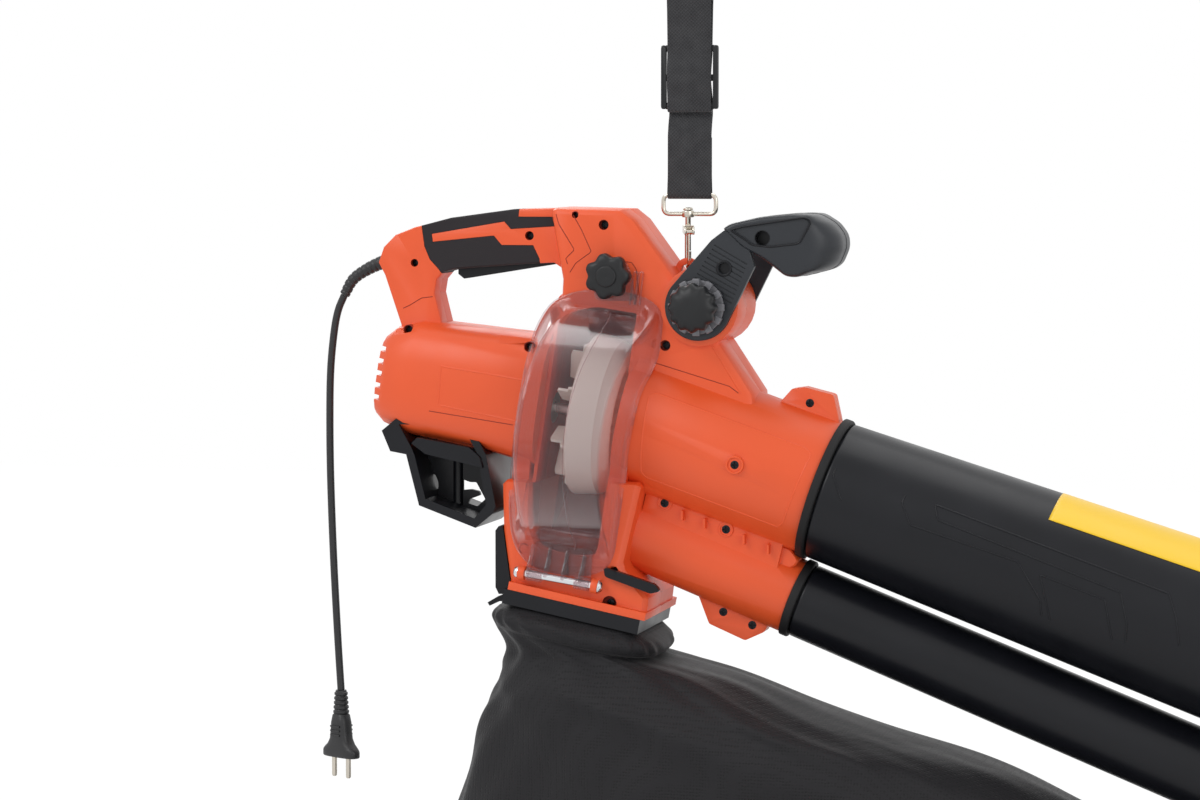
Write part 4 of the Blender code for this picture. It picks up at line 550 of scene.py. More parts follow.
def carved(piece, *tools):
    """Cuts closed tools out of a piece, with its modifiers applied. No tool may touch another of the same call."""
    tool = build("cutter", *merged(*tools))
    cut = piece.modifiers.new("cut", "BOOLEAN")
    cut.object = tool
    cut.operation = "DIFFERENCE"
    cut.solver = "EXACT"
    bpy.context.view_layer.update()
    shape = piece.evaluated_get(bpy.context.evaluated_depsgraph_get())
    mesh = bpy.data.meshes.new_from_object(shape)
    piece.modifiers.clear()
    piece.data = mesh
    bpy.data.objects.remove(tool)
    mesh.set_sharp_from_angle(angle=math.radians(30))


# Sizes that a user may change


class BlowerTubes(bpy.types.PropertyGroup):
    suction_start: FloatProperty(name="Suction tube radius at the housing", default=0.0625, unit="LENGTH",
                                 description="Outer radius next to the seal")
    suction_joint: FloatProperty(name="Suction tube radius at the joint", default=0.0755, unit="LENGTH",
                                 description="Outer radius of the upper tube's end")
    blow_start: FloatProperty(name="Blow tube radius at the housing", default=0.0335, unit="LENGTH",
                              description="Outer radius next to the seal")
    blow_joint: FloatProperty(name="Blow tube radius at the joint", default=0.0350, unit="LENGTH",
                              description="Outer radius of the upper tube's end")


class BlowerFan(bpy.types.PropertyGroup):
    blades: IntProperty(name="Blades", description="Blades on the fan behind the clear cover", default=8, min=5, max=12)
    radius: FloatProperty(name="Fan radius", description="Radius over the blade tips", default=0.072, unit="LENGTH")


class BlowerStage(bpy.types.PropertyGroup):
    backdrop: FloatVectorProperty(name="Backdrop", description="Colour of the floor and backdrop", subtype="COLOR",
                                  default=linear("FFFFFF")[:3])


def sizes(kind):
    """One of the property groups on the scene."""
    return getattr(bpy.context.scene, kind)


class BLOWER_OT_camera(bpy.types.Operator):
    """Puts the camera where the photograph was taken from"""

    bl_idname = "blower.camera"
    bl_label = "Camera"

    def execute(self, context):
        # In a picture 1200 pixels wide, with the focal length in pixels, the strap's eye shows this far right of the
        # middle and above it
        width, focal, aside, above = 1200.0, 3600.0, 88.0, 130.0
        distance = 3.214
        azimuth, elevation = math.radians(14.5), math.radians(4.0)
        right = Vector((math.cos(azimuth), math.sin(azimuth), 0.0))
        back = Vector((math.sin(azimuth) * math.cos(elevation), -math.cos(azimuth) * math.cos(elevation),
                       math.sin(elevation)))
        up = back.cross(right)
        camera = bpy.data.cameras.new("camera")
        camera.sensor_width = 36.0
        camera.lens = focal / width * camera.sensor_width
        camera.clip_end = 50.0
        holder = bpy.data.objects.new("camera", camera)
        bpy.context.scene.collection.objects.link(holder)
        place = back * distance - right * (aside / focal * distance) - up * (above / focal * distance)
        turn = Matrix((right, up, back)).transposed().to_4x4()
        holder.matrix_world = Matrix.Translation(place) @ turn
        context.scene.camera = holder
        return {"FINISHED"}


class BLOWER_OT_cord(bpy.types.Operator):
    """Builds the mains cord with its bent sleeve, its plug and the plug's pins"""

    bl_idname = "blower.cord"
    bl_label = "Cord and plug"

    def execute(self, context):
        route = smooth_route(at_depth(CORD_POINTS) * MM, 40)
        curve = bpy.data.curves.new("mains_lead", "CURVE")
        curve.dimensions = "3D"
        curve.bevel_depth = 3.4 * MM
        curve.bevel_resolution = 6
        curve.use_fill_caps = True
        spline = curve.splines.new("POLY")
        spline.points.add(len(route) - 1)
        spline.points.foreach_set("co", np.column_stack([route, np.ones(len(route))]).ravel())
        lead = bpy.data.objects.new("mains_lead", curve)
        bpy.context.scene.collection.objects.link(lead)
        curve.materials.append(material("pvc_black"))
        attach(lead, "housing")
        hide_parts("mains_cord")

        plug = self.plug()
        pins = [self.pin(index, side) for index, side in enumerate((-1, 1))]
        self.sleeve()
        return {"FINISHED"}

    @staticmethod
    def sleeve():
        """A tapered bend whose radius falls from 7 mm to 4.7 mm, with a groove each 5 mm after the first 22 mm."""
        corners = ((-266, 11), (-285, 5), (-300, -1.5), (-314, -11), (-322.5, -25))
        route = smooth_route(at_depth(corners) * MM, 120)
        run = lengths(route)
        radius = 7.0 - 2.3 * run / run[-1]
        groove = np.clip(np.sin(run / MM * 2 * math.pi / 5.0) * 3 - 1.4, 0, 1) * 0.55 * (run / MM > 22)
        piece = build("cord_bend", *swept(route, (radius - groove) * MM, 24))
        dress(piece, "pvc_black", "housing", "cord_sleeve", sharp=50)

    @staticmethod
    def plug():
        """A neck of revolution with rings, and a flat body whose half width follows its depth.

        Each ring of the body is a superellipse of power 3 with half sizes a(z) and b(z).
        """
        down = spun(PLUG, 90.0, "Y")
        profile = [(0.2, 0.0), (5.0, 0.0)]
        for k in range(5):
            wider, further = k * 0.3, k * 4.2
            profile += [(5.2 + wider, 1.5 + further), (6.2 + wider, 2.3 + further), (6.2 + wider, 4.2 + further),
                        (5.2 + wider, 5.0 + further)]
        profile += [(6.6, 24.0), (0.2, 24.0)]
        depth = np.array([22.0, 23.0, 30, 38, 45, 50, 53.5, 55.5, 57, 61, 62.0, 62.0])
        half = np.array([6.4, 7.6, 9.3, 10.0, 11.0, 14.5, 19.0, 20.9, 21.4, 21.4, 20.6, 0.1])
        thick = np.array([6.0, 6.8, 7.6, 7.8, 8.0, 8.0, 8.0, 8.0, 8.0, 8.0, 7.4, 0.1])
        angle = np.linspace(0, 2 * math.pi, 56, endpoint=False)
        body = np.stack([half[:, None] * superellipse(np.cos(angle), 2 / 3),
                         thick[:, None] * superellipse(np.sin(angle), 2 / 3),
                         np.broadcast_to(-depth[:, None], (len(depth), len(angle)))], axis=-1) * MM
        parts = [turned(profile, down, 32), (placed(body.reshape(-1, 3), PLUG),
                                             grid_faces(len(depth), len(angle), False, True, caps=True))]
        for side in (-1, 1):
            for k in range(3):
                low = -34 - k * 4.0
                outline = [(-6, low), (6, low), (6, low + 1.6), (-6, low + 1.6)]
                parts.append(extruded(outline, (side * 7.0, side * 8.6), PLUG))
        return dress(build("plug_shell", *merged(*parts)), "pvc_black", "housing", "plug_body", sharp=40)

    @staticmethod
    def pin(index, side):
        """A plug pin: a collar of insulation, then a bar with a domed tip."""
        place = spun(shifted(PLUG, (side * 9.5, 0, -62.3)), 90.0, "Y")
        bar = [(0.05, 0.0), (2.4, 0.0), (2.4, 17.2), (2.2, 18.2), (1.5, 18.9), (0.05, 19.0)]
        piece = build(f"pin_{index + 1}", *turned(bar, place, 24))
        return dress(piece, "nickel_plate", "housing", f"plug_pin_{index + 1}", sharp=50)


class BLOWER_OT_housing(bpy.types.Operator):
    """Builds the two orange shells with their wells, seams, borders and webs, the soft grip and the trigger"""

    bl_idname = "blower.housing"
    bl_label = "Housing"

    # Screw wells in the near shell: x, the shell's face, z and the well's radius
    WELLS = ((-69.1, -34, 40.6, 4.6), (-95.3, -34, 49.2, 3.0), (-141.7, -19, 30.2, 4.1), (-249.7, -19, 5, 3.6),
             (-251.2, -33.7, -54.9, 4.2), (-135.5, -42.7, -68.4, 4.4), (-12.8, -34, -65.9, 4.8),
             (-137.9, -53, -248.5, 4.4), (-58.9, -53, -294.8, 6.6))
    # Moulded lines on both shells, as x and z
    SEAMS = (((-113, 50), (-110.3, 41.1), (-95.9, 18.3), (-103.9, 10.6), (-102.3, 5.6)),
             ((-97, 49.2), (-89.3, 36), (-80.3, 16.6), (-94.7, 6.5), (-100, -1.7)),
             ((-260.5, -36.2), (-253.4, -32.9), (-243.1, -26.7), (-232.5, -25.4)),
             ((-63.2, 9.5), (-52.7, 8.6), (-43.3, 7.4), (-39.1, 1.5), (-36.4, -21.9)),
             ((-22.3, -81.3), (45.5, -101.1), (53.8, -107.1)),
             ((-227.1, -126.9), (-147.7, -137.7)), ((-200.7, -155.5), (-155.1, -167.2)))
    # Raised borders: round the suction housing's face, round the bare place on the motor, and down the neck
    RIDGES = (((-22, -108), (-16, -107), (117.4, -152.9), (123, -158), (98, -219), (92, -223.3), (-26.6, -182.3),
               (-30.8, -177.3), (-23, -111)),
              ((-215.2, -86.2), (-138.1, -97.3), (-141.8, -134.8), (-218.2, -121.3), (-215.2, -86.2)),
              ((29.9, -65.8), (55.9, -107.1)))

    def execute(self, context):
        right = rounded_copy("housing_right", "abs_orange", "housing", width=0.9)
        carved(right, *(post((x, face - 4, z), (x, face + 7, z), radius) for x, face, z, radius in self.WELLS))
        left = rounded_copy("housing_left", "abs_orange", "housing", width=0.9)
        for shell in (right, left):
            self.shade(shell)
        self.wells()
        self.lines()
        self.webs()
        rounded_copy("handle_grip", "elastomer_grip", "housing", width=0.6)
        rounded_copy("trigger", "polypropylene_black", "trigger", width=2.2, segments=4)
        kept_node("trigger_pin", "steel_ground")
        kept_node("switch_module", "nylon_black")
        return {"FINISHED"}

    @staticmethod
    def shade(shell):
        """Paints shade into the faces inside the fan's drum with a darker, redder orange: |x + 4| < 37, sqrt(y^2 + z^2)
        < 119, y > -33.
        """
        mesh = shell.data
        # A second finish: the orange darker and redder, as painted shade inside the drum
        mesh.materials.append(material("abs_drum_painted_shade"))
        centres = np.empty(len(mesh.polygons) * 3)
        mesh.polygons.foreach_get("center", centres)
        local = placed(centres.reshape(-1, 3), np.linalg.inv(SCROLL)) / MM
        inside = (np.abs(local[:, 0] + 4) < 37) & (np.hypot(local[:, 1], local[:, 2]) < 119) & (local[:, 1] > -33)
        mesh.polygons.foreach_set("material_index", inside.astype(np.int32))

    def wells(self):
        """A cup of revolution behind each well's hole, darkened with painted shade, and a small screw head on its
        floor.
        """
        cups, heads = [], []
        for x, face, z, radius in self.WELLS:
            place = sideways(x, z)
            cup = [(radius + 0.5, face + 0.4), (radius + 0.5, face + 8), (0.05, face + 8), (0.05, face + 6.8),
                   (radius - 0.1, face + 6.8), (radius - 0.1, face + 0.4)]
            cups.append(turned(cup, place, 32))
            heads.append(BLOWER_OT_screws.screw(x, z, -face - 5.2, min(3.4, radius - 0.5), 2.2))
        # The cups' dark orange is painted shade in the wells
        dress(build("well_cups", *merged(*cups)), "abs_painted_shade", "housing", sharp=30)
        dress(build("well_screws", *merged(*heads)), "oxide_steel", "housing", sharp=30)

    def lines(self):
        """Each seam is a bar darkened with painted shade that stands 0.3 mm proud of the shell, and each border one
        that stands 0.4 mm.

        Three rings stand round the screws of the suction housing and the web below it.
        """
        dark = [swept(on_shell(points, side, -0.15), 0.45 * MM, 8) for points in self.SEAMS for side in (-1, 1)]
        # The seams' dark orange is painted shade, as in a groove
        dress(build("shell_seams", *merged(*dark)), "abs_painted_shade", "housing", sharp=60)
        proud = [swept(on_shell(points, side, -0.8), 1.2 * MM, 10) for points in self.RIDGES for side in (-1, 1)]
        rings = []
        for x, z, face, outer in ((57, -168, 64.6, 8.4), (-15, -207, 26.2, 7.2), (41, -229, 26.2, 7.2)):
            ring = softened([(outer - 2.4, 3 - face), (outer, 3 - face), (outer - 0.4, -face - 0.9),
                             (outer - 2.0, -face - 0.9)], 0.5, 3)
            rings.append(turned(ring, sideways(x, z), 48))
        dress(build("shell_borders", *merged(*proud, *rings)), "abs_orange", "housing", sharp=60)

    @staticmethod
    def webs():
        """Four thin fins between the suction and the blow housing, and the two webs that close the gaps there."""
        parts = []
        for x, z in ((2.4, -217), (22.7, -223.6), (58.5, -237), (80.4, -244.9)):
            fin = softened([(x - 0.9, z - 4.5), (x + 0.9, z - 4.5), (x + 0.9, z + 4.5), (x - 0.9, z + 4.5)], 0.4, 2)
            parts.append(extruded(fin, ((-33.5, 0.3), (-33, 0.0), (-20, 0.0))))
        for corners in (((-66, -185), (-38, -192), (-30, -207), (-36, -224), (-66, -224)),
                        ((70, -234), (99.5, -246), (106, -256), (100, -263), (70, -254))):
            web = softened(corners, 3.0, 3)
            parts.append(extruded(web, ((-22, 1.5), (-20.5, 0.0), (20.5, 0.0), (22, 1.5))))
        dress(build("housing_webs", *merged(*parts)), "abs_orange", "housing", sharp=40)


class BLOWER_OT_motor(bpy.types.Operator):
    """Finishes the motor behind the vents, the fan's nut and the front handle's bolt"""

    bl_idname = "blower.motor"
    bl_label = "Motor"

    def execute(self, context):
        for node, finish in (("motor_stator", "sheet_stack"), ("armature", "sheet_stack"),
                             ("motor_shaft", "steel_ground"), ("commutator", "copper_turned"),
                             ("cooling_fan", "nylon_black"), ("rear_bearing", "steel_ground"),
                             ("front_bearing", "steel_ground"),
                             ("brush_holder_top", "brass_stamped"), ("brush_holder_bottom", "brass_stamped"),
                             ("impeller_nut", "steel_ground"), ("handle_bolt", "steel_ground")):
            kept_node(node, finish)
        return {"FINISHED"}


class BLOWER_OT_fan(bpy.types.Operator):
    """Builds the white fan: a disc with a conical shroud in front, blades between them and fins behind"""

    bl_idname = "blower.fan"
    bl_label = "Fan"

    def execute(self, context):
        group = sizes("blower_fan")
        radius = group.radius / MM
        drum = softened([(15.2, -9.5), (radius, -9.5), (radius + 1.5, -8), (radius + 1.5, -5), (radius - 2, 15.6),
                         (radius - 3, 16), (radius - 15, 28), (radius - 17.5, 28), (radius - 5.5, 15),
                         (radius - 1.2, -6), (15.2, -6)], 0.8, 3)
        hub = softened([(5.4, -21.8), (15, -21.8), (15, 10), (12, 12), (5.4, 12)], 1.2, 3)
        parts = [turned(drum, MOTOR, 120), turned(hub, MOTOR, 64)]
        blade = [(-7, 14.5), (10, 14.5), (26.5, radius - 17.5), (14, radius - 6), (-7, radius - 2.5)]
        rear = [(-9, 30), (-26, 34), (-26, radius - 15), (-24.5, radius - 11), (-15, radius - 11), (-14, radius - 4),
                (-9, radius - 1)]
        for index in range(group.blades):
            turn = spun(MOTOR, 360.0 / group.blades * index, "X")
            parts.append(extruded(blade, ((-1.2, 0.5), (-0.7, 0), (0.7, 0), (1.2, 0.5)), turn))
            between = spun(turn, 180.0 / group.blades, "X")
            parts.append(extruded(rear, ((-1.3, 0.5), (-0.8, 0), (0.8, 0), (1.3, 0.5)), between))
        dress(build("fan_wheel", *merged(*parts)), "nylon_natural", "rotor", "impeller", sharp=40)
        return {"FINISHED"}


class BLOWER_OT_cover(bpy.types.Operator):
    """Builds the clear fan cover with its tab and hinge lugs, the rim it rests on, its pin and its knob"""

    bl_idname = "blower.cover"
    bl_label = "Clear cover"

    # From the top middle down each side to the bottom middle, in the drum's frame: x and z of the flange's
    # inner edge, then x and z of the crest, where the wall turns into the front
    LEFT = ((8, 126.5, 8, 111), (-8.5, 123.6, -6, 110.5), (-27.6, 116.5, -20, 107), (-41.3, 106.3, -28.5, 99),
            (-50.5, 86.8, -34, 84), (-54.5, 65.9, -37.3, 65), (-56.6, 37.4, -39.4, 38), (-57.3, 3.8, -39.3, 5),
            (-56.6, -26, -37.9, -26), (-54.5, -55.4, -34.9, -55), (-51.2, -80, -32.3, -78), (-45.9, -99.6, -30, -92),
            (-38.5, -112, -24, -101), (-27.7, -120.1, -14, -106), (-10, -124, -4, -108), (8, -124.5, 8, -108.5))
    RIGHT = ((8, 126.5, 8, 111), (22, 126, 22, 111), (36, 124.6, 36, 109.5), (48, 120.5, 45, 105),
             (55.6, 112, 47.2, 97), (57.4, 96, 44.5, 84), (57.0, 76, 40.5, 66), (51.4, 44, 37.4, 38),
             (50.1, 14, 37.6, 5), (47.8, -20, 40.0, -26), (48.2, -55, 43.6, -55), (48.3, -84, 46.2, -78),
             (47.6, -101, 46.6, -92), (42.5, -113.5, 36, -101), (28, -121.5, 22, -106), (8, -124.5, 8, -108.5))
    # The crest's radius about the drum's axis, and how far the flange's outer face stands off the shell
    RADIUS = 115.0
    STAND = 2.7

    def execute(self, context):
        left, right = self.edge(self.LEFT, -1), self.edge(self.RIGHT, 1)
        self.shell(left, right)
        self.seat(left[1], right[1])
        self.foot()
        self.pin()
        self.knob()
        return {"FINISHED"}

    def edge(self, points, side, count=121):
        """One wall's rows in the drum's frame: the lip, the flange's inner edge, and the crest.

        The flange rests on the shell under it, and the crest's depth is sqrt(R^2 - z^2) but at least the flange's.
        """
        rows = smooth_route(points, count)
        foot = at_depth(rows[:, :2])
        casts = [SHELLS.ray_cast(Vector((x, -0.2, z)), Vector((0, 1, 0)))[0] for x, _, z in placed(foot * MM, SCROLL)]
        rest = np.array([min(place.y / MM, -34.0) if place else -34.0 for place in casts])
        # Running means take the steps out of the seat
        for _ in range(5):
            rest[1:-1] = (rest[:-2] + rest[1:-1] + rest[2:]) / 3
        foot[:, 1] = rest - self.STAND
        if side < 0:
            foot[:, 0] += 0.26 * (-34.0 - rest)
        along = np.gradient(foot[:, [0, 2]], axis=0)
        along /= np.linalg.norm(along, axis=1, keepdims=True)
        lip = foot + 3.2 * side * np.column_stack([-along[:, 1], np.zeros(count), along[:, 0]])
        deep = np.sqrt(np.maximum(self.RADIUS ** 2 - rows[:, 3] ** 2, 0))
        crest = np.column_stack([rows[:, 2], -np.maximum(deep, -foot[:, 1] + 0.4), rows[:, 3]])
        return lip, foot, crest

    def shell(self, left, right):
        """Rows from lip to lip: each edge is a quadratic curve that starts up to 4 mm before it.

        A thin line that the mould leaves runs down the front.
        """
        def bend(before, edge, after, steps):
            towards, onwards = before - edge, after - edge
            far = [np.maximum(np.linalg.norm(some, axis=1, keepdims=True), 1e-6) for some in (towards, onwards)]
            back, fore = (edge + some * np.minimum(0.45, 4 / size) for some, size in zip((towards, onwards), far))
            t = np.linspace(0, 1, steps)[None, :, None]
            return back[:, None] * (1 - t) ** 2 + edge[:, None] * 2 * t * (1 - t) + fore[:, None] * t ** 2

        grid = np.concatenate([left[0][:, None], bend(*left, 4), bend(left[1], left[2], right[2], 7),
                               bend(left[2], right[2], right[1], 7), bend(right[2], right[1], right[0], 4),
                               right[0][:, None]], axis=1) * MM
        piece = build("cover_dome", placed(grid.reshape(-1, 3), SCROLL), grid_faces(*grid.shape[:2]))
        wall = piece.modifiers.new("wall", "SOLIDIFY")
        wall.thickness = 2.3 * MM
        wall.offset = -1.0
        dress(piece, "polycarbonate_clear", "cover", "clear_cover", sharp=50)
        line = (left[2] * 0.42 + right[2] * 0.58)[16:-16] * MM
        dress(build("cover_line", *swept(placed(line, SCROLL), 0.5 * MM, 8)), "polycarbonate_clear", "cover")

    @staticmethod
    def seat(left, right):
        """The rim that the flange rests on: a bar 16 mm wide and 16 mm deep along the flange's line."""
        loop = np.vstack([left, right[-2:0:-1]])
        along = np.roll(loop, -2, axis=0) - np.roll(loop, 2, axis=0)
        along = along[:, [0, 2]] / np.linalg.norm(along[:, [0, 2]], axis=1, keepdims=True)
        inward = np.column_stack([-along[:, 1], np.zeros(len(loop)), along[:, 0]])
        ring = [loop + inward * across + np.array([0, down, 0]) for across, down in
                ((-2.0, 3.6), (-2.6, 4.4), (-2.6, 20), (13.5, 20), (13.5, 4.4), (12.9, 3.6))]
        points = np.stack(ring, axis=1)
        points[..., 1] = np.minimum(points[..., 1], -10)
        piece = build("cover_seat", placed(points.reshape(-1, 3) * MM, SCROLL),
                      grid_faces(len(loop), len(ring), True, True))
        dress(piece, "abs_orange", "housing", sharp=40)

    @staticmethod
    def foot():
        """The knob's tab with its two looped ribs, and a web with four gussets down to two knuckles round the pin."""
        x, z = KNOB_PLACE
        tab = softened([(x - 15, z - 22), (x - 18, z + 2), (x - 12, z + 15), (x + 12, z + 15), (x + 18, z + 2),
                        (x + 22, z - 22)], 6.0, 5)
        parts = [extruded(tab, ((-38.3, 0.8), (-37.6, 0.0), (-34.9, 0.0), (-34.3, 0.6)))]
        for start in (x + 16.5, x + 21.5):
            loop = softened([(start, -36.4, -30), (start + 4, -36.4, -1), (start + 7.5, -36.4, -1),
                             (start + 4, -36.4, -30)], 1.6, 5, closed=False)
            parts.append(swept(loop * MM, 0.9 * MM, 10))
        for index in range(2):
            start = -29 + 44 * index
            lug = softened([(3.8, start), (5.8, start), (5.8, start + 14), (3.8, start + 14)], 0.6, 2)
            parts.append(turned(lug, HINGE, 40))
        across = spun(HINGE, 90.0, "Z")
        gusset = softened([(-5.2, 0), (-5.5, 8), (-1, 17), (1.5, 27), (6.6, 27), (6.6, 4)], 1.5, 3)
        for station in (-28, -12, 4, 20):
            rows = [(-station + y, inward) for y, inward in ((-1.2, 0.4), (-0.8, 0), (0.8, 0), (1.2, 0.4))]
            parts.append(extruded(gusset, rows, across))
        web = softened([(-28, 3.5), (28, 3.5), (26, 30), (-26, 30)], 2.0, 3)
        parts.append(extruded(web, (4.4, 6.6), HINGE))
        dress(build("cover_foot", *merged(*parts)), "polycarbonate_clear", "cover", sharp=45)

    @staticmethod
    def pin():
        """A plated pin with a domed nut at one end and a bolt head at the other."""
        end = 37.3
        profile = [(0.05, -end - 4), (3.0, -end - 3.8), (4.6, -end - 2.9), (5.4, -end - 1.5), (5.5, -end), (3.5, -end),
                   (3.5, end), (6.2, end), (6.2, end + 1.0), (4.9, end + 1.2), (4.9, end + 1.8), (4.2, end + 2.6),
                   (3.2, end + 3.4), (1.6, end + 4.0), (0.05, end + 4.2)]
        dress(build("cover_pin", *turned(profile, HINGE, 48)), "chrome_plate", "housing", "cover_hinge_pin", sharp=40)

    @staticmethod
    def knob():
        """A seven-lobed knob with broad lobes: R(a) = R0 + A w(a), with w = 1 - 2 ((1 - cos 7a) / 2)^1.3.

        R0 and A fall towards the front, and a round cap stands on it.
        """
        place = sideways(*KNOB_PLACE, -90.0)
        # The tab's face, measured towards -Y
        face = 38.6
        angle = np.linspace(0, 2 * math.pi, 224, endpoint=False)
        wave = 1 - 2 * ((1 - np.cos(7 * angle)) / 2) ** 1.3
        station = np.array([0, 5.5, 6.0, 6.6, 8.0, 15.4, 17.2, 18.4, 18.9, 18.9])
        base = np.array([11.0, 11.0, 17.4, 18.8, 19.1, 18.9, 18.0, 16.2, 13.4, 9.5])
        lobe = np.array([0, 0, 1.2, 1.5, 1.6, 1.6, 1.5, 1.1, 0.5, 0.0])
        cap = softened([(0.05, face + 18), (9.4, face + 18), (9.4, face + 19.6), (8.6, face + 20.4),
                        (0.05, face + 20.6)], 0.5, 3)
        bolt = [(0.05, 24), (2.6, 24), (2.6, face + 1), (0.05, face + 1)]
        parts = [lobed(face + station, base, lobe, wave, place), turned(cap, place, 64), turned(bolt, place, 24)]
        dress(build("cover_star_knob", *merged(*parts)), "nylon_black", "cover_knob", "cover_knob", sharp=40)


class BLOWER_OT_front_handle(bpy.types.Operator):
    """Builds the adjustable front handle, its castellated ring and its domed knob"""

    bl_idname = "blower.front_handle"
    bl_label = "Front handle"

    # The grip's outline and the panel sunk in its near end, as x and z, and half the grip's width
    GRIP = ((41, 38), (48, 42.5), (74, 48.5), (103, 51.3), (121, 50.5), (135, 42.6), (143, 32), (144, 21), (138, 7),
            (131, 2), (106, -4.4), (97, -3.4), (86, 5.2), (77, 11.8), (57, 22.8), (45, 35))
    PANEL = ((48.4, 37), (60, 40), (114, 48.2), (119, 46.5), (120.5, 43.5), (110.9, 26.5), (107, 25), (84.2, 22.3),
             (68, 24), (61, 29.2))
    HALF = 46.0
    # The screw hole in the near end of the grip, and the one in each arm
    GRIP_HOLE = (77, 30)
    ARM_HOLE = (42.6, 3.2)

    def execute(self, context):
        self.grip()
        self.arms()
        self.index()
        self.knob()
        return {"FINISHED"}

    def grip(self):
        """The grip's outline carried across from -46 to 46 mm, with both ends rounded.

        Over the last 5.5 mm it draws in on a quarter ellipse, and the part beyond x = 112 shrinks along x by
        sqrt(1 - ((|y| - 14) / 32.5)^2).
        """
        outline = softened(self.GRIP, 5.0, 5)
        y = self.HALF * np.sin(np.linspace(-1, 1, 41) * math.pi / 2)
        edge = np.clip((np.abs(y) - 40.5) / 5.5, 0, 1)
        inward = 4.5 * (1 - np.sqrt(1 - edge ** 2))
        reach = np.sqrt(1 - np.clip((np.abs(y) - 14) / 32.5, 0, 1) ** 2)
        away = outline - outline.mean(axis=0)
        size = np.linalg.norm(away, axis=1)
        ring = outline.mean(axis=0) + away * (1 - inward[:, None] / size)[..., None]
        ring[..., 0] = np.minimum(ring[..., 0], 112) + np.maximum(ring[..., 0] - 112, 0) * reach[:, None]
        points = np.stack([ring[..., 0], np.broadcast_to(y[:, None], ring.shape[:2]), ring[..., 1]], axis=-1) * MM
        piece = build("front_grip", points.reshape(-1, 3), grid_faces(*points.shape[:2], False, True, caps=True))
        inner = softened(self.PANEL, 2.5, 4)
        middle = inner.mean(axis=0)
        carved(piece, extruded(middle + (inner - middle) * 0.94, (-50, -self.HALF + 1.3)))
        x, z = self.GRIP_HOLE
        carved(piece, post((x, -50, z), (x, -32, z), 6.5))
        # The handle's grey is painted reflection on black nylon
        dress(piece, "nylon_painted_reflection", "front_handle", "front_handle_right", "front_handle_left", sharp=35)
        border = swept(at_depth(np.vstack([inner, inner[:1]]), -self.HALF) * MM, 0.9 * MM, 10)
        line = swept(at_depth(outline) * MM, 0.35 * MM, 8, closed=True)
        rim = -self.HALF + 1
        cup = turned([(6.9, rim), (6.9, -31), (0.05, -31), (0.05, -32.4), (6.3, -32.4), (6.3, rim)],
                     sideways(*self.GRIP_HOLE), 32)
        dress(build("front_grip_lines", *merged(border, line, cup)), "polypropylene_black", "front_handle", sharp=60)

    def arms(self):
        """Two flat plates with ten grooves across each, and a ring and a floor in the near one's screw hole."""
        turn = np.radians(np.arange(-24, -218, -6))
        arc = np.column_stack([PIVOT[0] + 30 * np.cos(turn), PIVOT[1] + 30 * np.sin(turn)])
        x, z = self.ARM_HOLE
        outline = np.vstack([arc, softened([(31, 28), (45, 38.5), (63, 28), (70, 5)], 4.0, 4, closed=False)])
        for name, side in (("near", -1), ("far", 1)):
            rows = [(side * y, inward) for y, inward in ((38.4, 0.0), (42.6, 0.0), (43.5, 0.3), (44.0, 1.1))]
            piece = build(f"front_arm_{name}", *extruded(outline, rows))
            carved(piece, post((x, side * 47, z), (x, side * 30, z), 5.0))
            tools = []
            for k in range(10):
                start = np.array((32.7, 24.5)) + np.array((-19.7, -32.6)) * k / 9
                end = np.array((66.0, 5.5)) + np.array((-13.4, -34.3)) * k / 9
                along = (end - start) / np.linalg.norm(end - start)
                over = np.array((-along[1], along[0])) * 0.55
                bar = [start + along * 1.5 - over, end - along * 3 - over, end - along * 3 + over,
                       start + along * 1.5 + over]
                tools.append(extruded(bar, sorted((side * 42.9, side * 46))))
            carved(piece, *tools)
            # The arms' grey is painted reflection on black nylon
            dress(piece, "nylon_painted_reflection", "front_handle", sharp=30)
        place = sideways(x, z, -90.0)
        ring = softened([(5.0, 41.0), (7.4, 41.0), (7.2, 44.8), (5.2, 44.8)], 0.5, 3)
        floor = [(0.05, 38.8), (5.2, 38.8), (5.2, 39.8), (0.05, 39.8)]
        dress(build("front_arm_ring", *merged(turned(ring, place, 40), turned(floor, place, 40))),
              "polypropylene_black", "front_handle", sharp=40)

    @staticmethod
    def index():
        """A ring with twelve square teeth, which the knob presses on the handle's teeth."""
        place = sideways(*PIVOT, -90.0)
        parts = [turned(softened([(6, 44.7), (24, 44.7), (24, 47.4), (6, 47.4)], 0.6, 3), place, 72)]
        for k in range(12):
            tooth = softened([(46.6, 18.8), (52.4, 18.8), (52.4, 25.2), (46.6, 25.2)], 0.8, 3)
            rows = [(-3.1, 0.5), (-2.6, 0.0), (2.6, 0.0), (3.1, 0.5)]
            parts.append(extruded(tooth, rows, spun(place, 30.0 * k, "X")))
        # The teeth's pale grey is painted highlight on black nylon
        dress(build("index_teeth", *merged(*parts)), "nylon_painted_highlight", "housing", "index_ring", sharp=35)

    @staticmethod
    def knob():
        """Twelve lobes round a dome: R(a) = R0 + A cos 12a, with R0 falling on a quarter ellipse."""
        place = sideways(*PIVOT, -90.0)
        # Where the knob starts, measured towards -Y: 0.2 mm beyond the index ring's face
        face = 47.6
        wave = np.cos(12 * np.linspace(0, 2 * math.pi, 288, endpoint=False))
        dome = np.linspace(0, math.pi / 2, 11)[1:-1]
        station = np.concatenate([[0, 9.6, 10.2, 11.2, 19.0], 19.0 + 8.0 * np.sin(dome), [27.0]])
        base = np.concatenate([[12, 12, 19.2, 20.6, 21.0], 6.0 + 14.8 * np.cos(dome), [5.0]])
        lobe = np.concatenate([[0, 0, 0.9, 1.1, 1.1], 1.1 * np.cos(dome) ** 4, [0]])
        piece = build("front_lobe_knob", *lobed(face + station, base, lobe, wave, place))
        dress(piece, "nylon_black", "front_knob", "front_knob", sharp=45)


